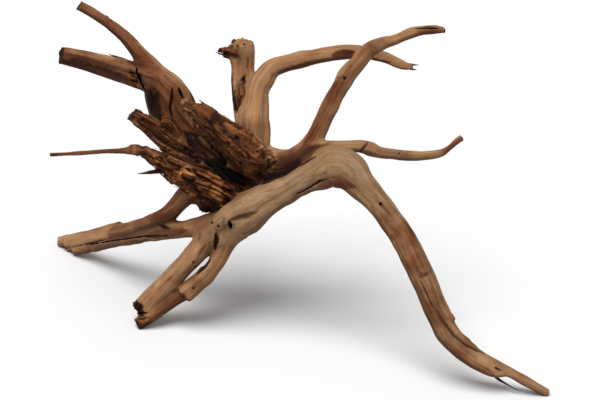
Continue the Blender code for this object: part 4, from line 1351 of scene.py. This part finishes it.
@dataclass
class TornFibres(WoodPiece):
    """Strips of torn wood on the limbs, and the single splinters, all in one piece."""

    rings: int = 8
    sides: int = 5
    seed: int = 25
    row_bluntness: tuple[float, float] = (0.8, 4.0)
    spike_bluntness: tuple[float, float] = (0.7, 1.6)
    raggedness: float = 0.16
    fan_bow: float = 0.05
    splinter_bow: float = 0.015
    draw: np.random.Generator = field(init=False)

    def __post_init__(self) -> None:
        """Start the drawn numbers from the seed."""
        self.draw = np.random.default_rng(self.seed)

    def build(self) -> Object:
        """Lay every fibre and splinter.

        Returns:
            The piece with its attributes, not dressed yet.
        """
        grids, tones = [], []
        for row in FIBRE_ROWS.values():
            grids.append(self.lay(row))
            tones += [row.tone] * row.count
        for fan in FIBRE_FANS.values():
            grids.append(self.spread(fan))
            tones += [fan.tone] * fan.count
        single = list(SPLINTERS.values())
        roots = np.array([splinter.root for splinter in single], dtype=float)
        tips = np.array([splinter.tip for splinter in single], dtype=float)
        widths = np.array([splinter.half_width for splinter in single])
        grids.append(self.spikes(roots, tips, widths, self.splinter_bow))
        tones += [splinter.tone for splinter in single]
        grid = np.clip(np.concatenate(grids), *self.box)
        piece = new_piece("torn_fibres", grid, tube_faces(len(grid), self.rings, self.sides))
        face_outward(piece.data)
        each = self.rings * self.sides
        run = np.repeat(np.linspace(0.0, 1.0, self.rings), self.sides)
        turn = np.tile(np.linspace(0.0, 1.0, self.sides, endpoint=False), self.rings)
        shade = self.draw.uniform(0.0, 1.0, len(grid))
        strand = [np.tile(turn, len(grid)), np.repeat(shade, each), np.tile(run, len(grid))]
        write_attribute(piece.data, "strand", np.stack(strand, axis=1))
        tone = np.repeat(np.array([tone.value[:3] for tone in tones]), each, axis=0)
        write_attribute(piece.data, "tone", tone)
        return piece

    def profile(self, count: int, bluntness: tuple[float, float]) -> np.ndarray:
        """Widths along fibres: a swelling root, and 1 less a drawn power of the run towards the tip.

        Args:
            count: how many fibres.
            bluntness: the least and the greatest power.

        Returns:
            Shares of the root's width, fibres by rings.
        """
        share = np.linspace(0.0, 1.0, self.rings)[None, :]
        power = self.draw.uniform(*bluntness, (count, 1))
        ragged = 1.0 + self.raggedness * self.draw.normal(0.0, 1.0, (count, self.rings))
        return np.minimum(1.0, 0.35 + 3.0 * share) * (1.0 - 0.93 * share ** power) * ragged

    def lay(self, row: FibreRow) -> np.ndarray:
        """Fibres that follow a limb's surface and peel away from it towards their tips.

        Each runs from a drawn start to a drawn end at a drawn turn, with a slow sway. Its section is
        a flat oval, and its lift grows with a power of its run.

        Args:
            row: the row of fibres.

        Returns:
            Places, by fibre, ring, side and axis.
        """
        path, each, draw = self.paths[row.limb], (row.count, 1), self.draw
        start = draw.uniform(*row.starts, each)
        end = np.maximum(draw.uniform(*row.ends, each), start + 0.10)
        share = np.linspace(0.0, 1.0, self.rings)[None, :]
        run = (start + (end - start) * share) * path.length
        turn = np.radians(draw.uniform(*row.turns, each))
        sway = draw.uniform(0.0, 6.3, each) + draw.uniform(2.0, 6.0, each) * share
        aside = draw.uniform(-1.0, 1.0, each) * share + 0.25 * np.sin(sway)
        turn = turn + math.radians(row.splay) * aside
        width = row.half_width_mm * MILLIMETRE * draw.uniform(0.45, 1.4, each)
        peel = row.lift_mm * MILLIMETRE * draw.uniform(0.0, 1.0, each) ** 2
        lift = width * (np.minimum(0.9, 3.0 * share) - 0.6) + peel * share ** 2.5
        centre, out, along = path.surface(run, turn, lift)
        beside = np.cross(along, out)
        half = width * self.profile(row.count, self.row_bluntness)
        roll = draw.uniform(-0.6, 0.6, (row.count, 1, 1)) + np.linspace(
            0.0, 2 * math.pi, self.sides, endpoint=False)[None, None, :]
        ring = (beside[:, :, None, :] * np.cos(roll)[..., None]
                + out[:, :, None, :] * row.flatness * np.sin(roll)[..., None])
        return centre[:, :, None, :] + ring * half[:, :, None, None]

    def spread(self, fan: FibreFan) -> np.ndarray:
        """Fibres from even spots on one traced line to even spots on another, with drawn scatter.

        Args:
            fan: the fan of fibres.

        Returns:
            Places, by fibre, ring, side and axis.
        """
        share = ((np.arange(fan.count) + 0.5) / fan.count)[:, None]
        roots = np.array(fan.roots[0]) + np.subtract(fan.roots[1], fan.roots[0]) * share
        tips = np.array(fan.tips[0]) + np.subtract(fan.tips[1], fan.tips[0]) * share
        roots = roots + self.draw.uniform(-fan.scatter, fan.scatter, roots.shape)
        tips = tips + self.draw.uniform(-fan.scatter, fan.scatter, tips.shape)
        tips += (roots - tips) * self.draw.uniform(-0.05, 0.65, (fan.count, 1))
        widths = fan.half_width * self.draw.uniform(0.4, 1.3, fan.count)
        return self.spikes(roots, tips, widths, self.fan_bow)

    def spikes(self, roots: np.ndarray, tips: np.ndarray, widths: np.ndarray,
               bow_share: float) -> np.ndarray:
        """Slim spikes: rings about a straight line, bowed aside by half a sine wave of drawn size.

        Args:
            roots: traced roots with millimetres away.
            tips: traced tips with millimetres away.
            widths: traced half-widths at the root.
            bow_share: how large the bow is, as a share of the length.

        Returns:
            Places, by spike, ring, side and axis.
        """
        low, _ = SIGHTING.place(roots)
        high, _ = SIGHTING.place(tips)
        share = np.linspace(0.0, 1.0, self.rings)[None, :, None]
        step = (high - low)[:, None, :]
        length = np.linalg.norm(step, axis=-1, keepdims=True)
        along = step / length
        side = np.cross(SIGHTING.away, along)
        side /= np.linalg.norm(side, axis=-1, keepdims=True)
        deep = np.cross(along, side)
        bow = bow_share * self.draw.normal(0.0, 1.0, (len(roots), 1, 2)) * length
        sway = (side * bow[..., :1] + deep * bow[..., 1:]) * np.sin(math.pi * share)
        line = low[:, None, :] + step * share + sway
        half = widths[:, None] * SIGHTING.unit * self.profile(len(roots), self.spike_bluntness)
        turn = np.linspace(0.0, 2 * math.pi, self.sides, endpoint=False)[None, None, :, None]
        out = side[:, :, None, :] * np.cos(turn) + 0.7 * deep[:, :, None, :] * np.sin(turn)
        return line[:, :, None, :] + out * half[:, :, None, None]


def colour(code: str) -> tuple[float, float, float, float]:
    """A screen colour in linear light: each part is divided by 12.92, or raised to the power 2.4.

    Args:
        code: red, green and blue, such as a67b5b.

    Returns:
        Red, green, blue and alpha.
    """
    parts = [int(code[at:at + 2], 16) / 255.0 for at in (0, 2, 4)]
    linear = [part / 12.92 if part <= 0.04045 else ((part + 0.055) / 1.055) ** 2.4 for part in parts]
    return (*linear, 1.0)


class NodeSheet:
    """A short way to add and join shader nodes in one tree."""

    def __init__(self, tree: NodeTree) -> None:
        """Keep the tree that the nodes go into."""
        self.tree = tree

    def add(self, kind: str, inputs: dict | None = None, **settings: object) -> bpy.types.Node:
        """Add a node, set its properties, and set or join its inputs.

        Args:
            kind: the node's type, such as ShaderNodeMath.
            inputs: a value or an output socket for each input, by name or number.
            settings: the node's own properties.

        Returns:
            The new node.
        """
        node = self.tree.nodes.new(kind)
        for name, value in settings.items():
            setattr(node, name, value)
        for key, value in (inputs or {}).items():
            self.feed(node.inputs[key], value)
        return node

    def feed(self, socket: NodeSocket, value: object) -> None:
        """Join a socket to an output, or set its own value.

        Args:
            socket: the input.
            value: an output socket, or a plain value.
        """
        if isinstance(value, NodeSocket):
            self.tree.links.new(value, socket)
        else:
            socket.default_value = value

    def attribute(self, name: str, output: str = "Vector") -> NodeSocket:
        """A named attribute of the mesh."""
        return self.add("ShaderNodeAttribute", attribute_name=name).outputs[output]

    def math(self, operation: str, *values: object) -> NodeSocket:
        """One Math node over one to three values."""
        return self.add("ShaderNodeMath", dict(enumerate(values)), operation=operation).outputs[0]

    def about_zero(self, value: object, scale: object) -> NodeSocket:
        """A value less a half, times a scale."""
        return self.math("MULTIPLY", self.math("SUBTRACT", value, 0.5), scale)

    def sum_of(self, first: object, first_share: float, second: object, second_share: float) -> NodeSocket:
        """Two values, each times its share, added up."""
        return self.math("ADD", self.math("MULTIPLY", first, first_share),
                         self.math("MULTIPLY", second, second_share))

    def noise(self, place: object, scale: float, detail: float, roughness: float = 0.55) -> NodeSocket:
        """Noise at a place, from about 0 to 1."""
        return self.add("ShaderNodeTexNoise", {"Vector": place, "Scale": scale, "Detail": detail,
                                               "Roughness": roughness}).outputs["Fac"]

    def stretch(self, place: object, scale: tuple[float, float, float]) -> NodeSocket:
        """A place scaled on each axis."""
        return self.add("ShaderNodeMapping", {"Vector": place, "Scale": scale}).outputs[0]

    def step(self, value: object, low: float, high: float) -> NodeSocket:
        """A smooth rise from 0 at low to 1 at high."""
        return self.add("ShaderNodeMapRange", {"Value": value, "From Min": low, "From Max": high},
                        interpolation_type="SMOOTHSTEP").outputs[0]

    def vectors(self, operation: str, *values: object) -> bpy.types.Node:
        """One Vector Math node."""
        return self.add("ShaderNodeVectorMath", dict(enumerate(values)), operation=operation)

    def mix(self, share: object, first: object, second: object) -> NodeSocket:
        """Two colours mixed by a share.

        Args:
            share: how much of the second colour there is.
            first: the colour at 0.
            second: the colour at 1.

        Returns:
            The mixed colour.
        """
        node = self.add("ShaderNodeMix", data_type="RGBA")
        for name, value in (("Factor", share), ("A", first), ("B", second)):
            self.feed(next(s for s in node.inputs if s.name == name and s.enabled), value)
        return next(s for s in node.outputs if s.enabled)

    def ramp(self, value: object, codes: tuple[str, ...]) -> NodeSocket:
        """Colours spread evenly over a value from 0 to 1.

        Args:
            value: where the colour is read.
            codes: the screen colours from 0 to 1.

        Returns:
            The colour.
        """
        node = self.add("ShaderNodeValToRGB", {"Fac": value})
        stops = node.color_ramp.elements
        stops[0].color = colour(codes[0])
        stops[-1].color = colour(codes[-1])
        for number, code in enumerate(codes[1:-1], 1):
            stops.new(number / (len(codes) - 1)).color = colour(code)
        return node.outputs["Color"]

    def bump(self, height: object, strength: float, depth: float) -> NodeSocket:
        """The skin's direction, turned by a height from 0 to 1 that stands for a depth."""
        inputs = {"Height": height, "Strength": strength, "Distance": depth}
        return self.add("ShaderNodeBump", inputs).outputs[0]

    def split(self, vector: object) -> tuple[NodeSocket, ...]:
        """The three parts of a vector."""
        return tuple(self.add("ShaderNodeSeparateXYZ", {0: vector}).outputs[:3])


def make_group(name: str, inputs: dict[str, tuple[str, object]], outputs: dict[str, str]) -> tuple:
    """An empty node group with named sockets.

    Args:
        name: the group's name.
        inputs: the socket kind and start value of each input.
        outputs: the socket kind of each output.

    Returns:
        The group, a sheet for its nodes, the input node's sockets and the output node's sockets.
    """
    group = bpy.data.node_groups.new(name, "ShaderNodeTree")
    for label, (kind, start) in inputs.items():
        socket = group.interface.new_socket(label, in_out="INPUT", socket_type=kind)
        if start is not None:
            socket.default_value = start
    for label, kind in outputs.items():
        group.interface.new_socket(label, in_out="OUTPUT", socket_type=kind)
    sheet = NodeSheet(group)
    return group, sheet, sheet.add("NodeGroupInput").outputs, sheet.add("NodeGroupOutput").inputs


def new_material(name: str, gloss: float) -> tuple[Material, NodeSheet, NodeInputs]:
    """A material with its one shader.

    Args:
        name: the material's name.
        gloss: the strength of the shader's reflections.

    Returns:
        The material, a sheet for its nodes and the shader's inputs.
    """
    material = bpy.data.materials.new(name)
    material.use_nodes = True
    inputs = material.node_tree.nodes["Principled BSDF"].inputs
    inputs["Specular IOR Level"].default_value = gloss
    return material, NodeSheet(material.node_tree), inputs


@dataclass
class GrainGroups:
    """The shared effects: long grain, blotches, and end grain, each a node group.

    Each scale says how many waves of noise a metre holds, on every axis or on across, behind and run.
    """

    wander_scale: Cell = (60, 60, 18)
    wander: float = 0.006
    streak_scale: Cell = (420, 420, 16)
    line_scale: Cell = (1500, 1500, 45)
    pore_scale: Cell = (1900, 1900, 260)
    warm_scale: float = 26.0
    grey_scale: float = 34.0
    grey_shift: Cell = (3.1, 1.7, 5.3)
    speck_scale: float = 420.0
    ring_noise_scale: float = 260.0
    ring_noise: float = 0.0022
    ring_turn: float = 5200.0
    grain: NodeTree = field(init=False)
    blotch: NodeTree = field(init=False)
    rings: NodeTree = field(init=False)

    def __post_init__(self) -> None:
        """Make the three groups."""
        self.grain = self.long_grain()
        self.blotch = self.blotches()
        self.rings = self.end_grain()

    def long_grain(self) -> NodeTree:
        """Streaks, fine lines and pores drawn out along the limb, and their height.

        Returns:
            The group.
        """
        group, sheet, entry, leave = make_group(
            "long_grain",
            {"Straight": ("NodeSocketVector", None), "Coarseness": ("NodeSocketFloat", 1.0)},
            dict.fromkeys(("Streak", "Line", "Pore", "Height"), "NodeSocketFloat"))
        straight = entry["Straight"]
        slow = sheet.noise(sheet.stretch(straight, self.wander_scale), 1.0, 2.0)
        shift = sheet.about_zero(slow, self.wander)
        push = sheet.add("ShaderNodeCombineXYZ", {0: shift, 1: sheet.math("MULTIPLY", shift, -0.8)})
        bent = sheet.vectors("ADD", straight, push.outputs[0]).outputs[0]
        streak = sheet.noise(sheet.stretch(bent, self.streak_scale), 1.0, 4.0, 0.6)
        line = sheet.noise(sheet.stretch(bent, self.line_scale), 1.0, 3.0, 0.65)
        pore = sheet.noise(sheet.stretch(bent, self.pore_scale), 1.0, 2.0, 0.5)
        dash = sheet.step(pore, 0.66, 0.74)
        height = sheet.sum_of(streak, 0.6, line, 0.4)
        height = sheet.math("SUBTRACT", height, sheet.math("MULTIPLY", dash, 0.35))
        sheet.feed(leave["Streak"], sheet.step(streak, 0.28, 0.72))
        sheet.feed(leave["Line"], sheet.step(line, 0.30, 0.70))
        sheet.feed(leave["Pore"], dash)
        sheet.feed(leave["Height"], sheet.math("MULTIPLY", height, entry["Coarseness"]))
        return group

    def blotches(self) -> NodeTree:
        """Broad patches of warm and grey wood, and small dark specks.

        Returns:
            The group.
        """
        group, sheet, entry, leave = make_group(
            "blotches", {"Place": ("NodeSocketVector", None)},
            dict.fromkeys(("Warm", "Grey", "Speck"), "NodeSocketFloat"))
        place = entry["Place"]
        moved = sheet.vectors("ADD", place, self.grey_shift).outputs[0]
        sheet.feed(leave["Warm"], sheet.step(sheet.noise(place, self.warm_scale, 3.0), 0.40, 0.66))
        sheet.feed(leave["Grey"], sheet.step(sheet.noise(moved, self.grey_scale, 4.0), 0.42, 0.68))
        sheet.feed(leave["Speck"], sheet.step(sheet.noise(moved, self.speck_scale, 2.0), 0.68, 0.76))
        return group

    def end_grain(self) -> NodeTree:
        """Growth rings round the limb's middle, broken by noise.

        Returns:
            The group.
        """
        group, sheet, entry, leave = make_group(
            "end_grain", {"Straight": ("NodeSocketVector", None)}, {"Ring": "NodeSocketFloat"})
        flat = sheet.stretch(entry["Straight"], (1.0, 1.0, 0.0))
        length = sheet.vectors("LENGTH", flat).outputs["Value"]
        wobble = sheet.math("MULTIPLY", sheet.noise(flat, self.ring_noise_scale, 3.0), self.ring_noise)
        turn = sheet.math("MULTIPLY", sheet.math("ADD", length, wobble), self.ring_turn)
        sheet.feed(leave["Ring"], sheet.math("MULTIPLY_ADD", sheet.math("SINE", turn), 0.5, 0.5))
        return group


@dataclass(frozen=True)
class WeatheredWood:
    """The skin's finish: pale, red, torn and rotten wood under one grain, with painted shade below and in
    hollows.

    The colours of each kind of wood run from its hollows to its crests, partly the wood's own colour and
    partly painted shade in the hollows and painted light on the crests.
    """

    pale: tuple[str, ...] = ("6b452a", "a37752", "ca9f76")
    red: tuple[str, ...] = ("2a1108", "68391f", "9e6b47")
    torn: tuple[str, ...] = ("140702", "4a230d", "8c5425", "c88f52")
    rotten: tuple[str, ...] = ("0a0402", "331609", "66371b", "98673d")
    grey: tuple[str, ...] = ("4c3926", "8c7254", "b39b7a")
    end: tuple[str, ...] = ("1a0b05", "4a2c1c")
    # Pores, specks and painted shade on undersides share this colour.
    under: str = "26110a"
    maroon: str = "220b05"
    deep_shade_black: str = "050201"
    gloss: float = 0.15
    bump: float = 0.75
    bump_depth: float = 0.0007

    def make(self, groups: GrainGroups) -> Material:
        """Mix the kinds of wood by the skin's own straight, tone, grey, shade, ridge and clarity.

        Args:
            groups: the shared effects.

        Returns:
            The material.
        """
        material, sheet, shader = new_material("weathered_wood", self.gloss)
        straight = sheet.attribute("straight")
        red, torn, rot = sheet.split(sheet.attribute("tone"))
        shade, under, end = sheet.split(sheet.attribute("shade"))
        ridge, clarity = sheet.attribute("ridge", "Fac"), sheet.attribute("clarity", "Fac")
        place = sheet.add("ShaderNodeTexCoord").outputs["Object"]
        grain = sheet.add("ShaderNodeGroup", {"Straight": straight}, node_tree=groups.grain).outputs
        blotch = sheet.add("ShaderNodeGroup", {"Place": place}, node_tree=groups.blotch).outputs
        rings = sheet.add("ShaderNodeGroup", {"Straight": straight}, node_tree=groups.rings).outputs

        fine = sheet.sum_of(sheet.about_zero(grain["Streak"], clarity), 0.30,
                            sheet.about_zero(grain["Line"], clarity), 0.17)
        # Painted shade and light: the ridge height moves each ramp darker in the relief's hollows and paler
        # on its crests.
        sound = sheet.math("ADD", sheet.math("MULTIPLY_ADD", ridge, 0.30, 0.52), fine)
        broken = sheet.math("ADD", sheet.math("MULTIPLY_ADD", ridge, 0.34, 0.51),
                            sheet.math("MULTIPLY", fine, 0.8))
        spread = sheet.about_zero(blotch["Warm"], 0.5)
        grey = sheet.math("MULTIPLY_ADD", blotch["Grey"], 0.25, sheet.attribute("grey", "Fac"))
        torn = sheet.math("MULTIPLY_ADD", spread, 0.4, torn)
        rot = sheet.math("MULTIPLY_ADD", spread, 0.6, rot)

        base = sheet.ramp(sound, self.pale)
        for share, cover in (
                (sheet.step(grey, 0.0, 1.2), sheet.ramp(sound, self.grey)),
                (sheet.step(sheet.math("ADD", red, spread), 0.0, 1.0), sheet.ramp(sound, self.red)),
                (sheet.step(torn, 0.1, 0.9), sheet.ramp(broken, self.torn)),
                (sheet.step(rot, 0.05, 0.8), sheet.ramp(broken, self.rotten)),
                (end, sheet.ramp(rings["Ring"], self.end)),
                (sheet.math("MULTIPLY", grain["Pore"], 0.45), colour(self.under)),
                (sheet.math("MULTIPLY", blotch["Speck"], 0.35), colour(self.under)),
                # Painted shade on faces that point down.
                (sheet.math("MULTIPLY", under, 0.70), colour(self.under)),
                # Painted shade: the shade attribute darkens towards maroon, then black in the deepest
                # cracks and hollows; darker stains use the maroon too.
                (sheet.step(shade, 0.0, 0.7), colour(self.maroon)),
                (sheet.step(shade, 0.6, 1.0), colour(self.deep_shade_black))):
            base = sheet.mix(share, base, cover)
        sheet.feed(shader["Base Color"], base)
        sheet.feed(shader["Roughness"], sheet.math("MULTIPLY_ADD", grain["Streak"], -0.14, 0.86))
        height = sheet.math("MULTIPLY", grain["Height"], clarity)
        sheet.feed(shader["Normal"], sheet.bump(height, self.bump, self.bump_depth))
        return material


@dataclass(frozen=True)
class TornWood:
    """The fibres' finish: each strand has its own shade, with dark lines along it."""

    torn: tuple[str, ...] = ("180903", "4a2611", "824f25", "b1803f")
    brown: tuple[str, ...] = ("1c0d06", "4e2e1a", "7c5236")
    rotten: tuple[str, ...] = ("0c0503", "2c150a", "563016", "7e5430")
    line_scale: Cell = (5.0, 37.0, 1.6)
    roughness: float = 0.85
    gloss: float = 0.15
    bump: float = 0.7
    bump_depth: float = 0.0004

    def make(self) -> Material:
        """Mix the kinds of wood by the fibres' own strand and tone.

        Returns:
            The material.
        """
        material, sheet, shader = new_material("torn_wood", self.gloss)
        strand = sheet.attribute("strand")
        _, shade, run = sheet.split(strand)
        _, torn, rot = sheet.split(sheet.attribute("tone"))
        line = sheet.noise(sheet.stretch(strand, self.line_scale), 1.0, 3.0, 0.6)
        value = sheet.math("ADD", sheet.sum_of(shade, 0.60, line, 0.60),
                           sheet.math("MULTIPLY_ADD", run, 0.16, -0.24))
        base = sheet.mix(torn, sheet.ramp(value, self.brown), sheet.ramp(value, self.torn))
        base = sheet.mix(sheet.math("MULTIPLY", rot, 1.3), base, sheet.ramp(value, self.rotten))
        sheet.feed(shader["Base Color"], base)
        sheet.feed(shader["Roughness"], self.roughness)
        sheet.feed(shader["Normal"], sheet.bump(line, self.bump, self.bump_depth))
        return material


@dataclass(frozen=True)
class Studio:
    """A pale floor, soft light from above and in front, and the camera where the picture was taken."""

    floor_half: float = 6.0
    floor_grey: float = 0.85
    floor_roughness: float = 0.9
    floor_gloss: float = 0.1
    sensor: float = 36.0
    clip_end: float = 20.0
    sun_place: tuple[float, float, float] = (-0.30, -0.32, 1.15)
    sun_strength: float = 2.8
    sun_angle: float = 0.7
    sky_strength: float = 0.36
    nudge: tuple[float, float] = (0.0004, 0.0005)

    def build(self) -> None:
        """Make the floor, lights and camera."""
        self.lay_floor()
        self.hang_sun()
        world = bpy.data.worlds.new("studio")
        world.use_nodes = True
        sky = world.node_tree.nodes["Background"]
        sky.inputs["Color"].default_value = (1.0, 1.0, 1.0, 1.0)
        sky.inputs["Strength"].default_value = self.sky_strength
        bpy.context.scene.world = world
        bpy.context.scene.view_settings.view_transform = "Standard"
        self.set_camera()

    def lay_floor(self) -> None:
        """A plain pale floor at the height of the wood's feet."""
        half = self.floor_half
        corners = np.array([(-half, -half, 0), (half, -half, 0), (half, half, 0), (-half, half, 0)], float)
        floor = new_piece("floor", corners, [(0, 1, 2, 3)])
        material, sheet, shader = new_material("pale_floor", self.floor_gloss)
        sheet.feed(shader["Base Color"], (self.floor_grey,) * 3 + (1.0,))
        sheet.feed(shader["Roughness"], self.floor_roughness)
        floor.data.materials.append(material)
        floor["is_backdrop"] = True

    def hang_sun(self) -> None:
        """A very wide sun, high in front and a little left, which is as even as a large softbox."""
        lamp = bpy.data.lights.new("key_light", "SUN")
        lamp.angle = self.sun_angle
        lamp.energy = self.sun_strength
        holder = bpy.data.objects.new("key_light", lamp)
        holder.location = self.sun_place
        holder.rotation_euler = (-Vector(self.sun_place)).to_track_quat("-Z", "Y").to_euler()
        bpy.context.scene.collection.objects.link(holder)

    def set_camera(self) -> None:
        """The camera at the eye of the tracing, with the lens that gives the picture's width."""
        camera = bpy.data.cameras.new("camera")
        camera.sensor_width = self.sensor
        camera.lens = self.sensor * SIGHTING.eye_distance / (SIGHTING.picture_width * SIGHTING.unit)
        camera.clip_end = self.clip_end
        away, right = Vector(SIGHTING.away), Vector(SIGHTING.right)
        up = right.cross(away)
        turn = Matrix((right, up, -away)).transposed().to_4x4()
        centre = Vector((0.0, SIGHTING.shift_back, SIGHTING.centre_height))
        centre += right * self.nudge[0] + up * self.nudge[1]
        turn.translation = centre - away * SIGHTING.eye_distance
        holder = bpy.data.objects.new("camera", camera)
        holder.matrix_world = turn
        bpy.context.scene.collection.objects.link(holder)
        bpy.context.scene.camera = holder


def main() -> None:
    """Build the wood and the studio round it."""
    logging.basicConfig(level=logging.INFO, format="%(name)s: %(message)s")
    solid_box = tuple(np.array(corner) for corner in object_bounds())
    paths = {name: Path(limb, number) for number, (name, limb) in enumerate(LIMBS.items())}
    sound_limbs = tuple(name for name in LIMBS if name not in TORN_LIMBS)
    weathered = WeatheredWood().make(GrainGroups())
    sound = WoodSkin(paths, solid_box, "sound_limbs", sound_limbs)
    torn = WoodSkin(paths, solid_box, "torn_heart", TORN_LIMBS, cell=0.0008, least_share=0.02)
    fibres = TornFibres(paths, solid_box)
    for wood, finish in ((sound, weathered), (torn, weathered), (fibres, TornWood().make())):
        wood.dress(wood.build(), finish)
    Studio().build()


if __name__ == "__main__":
    main()
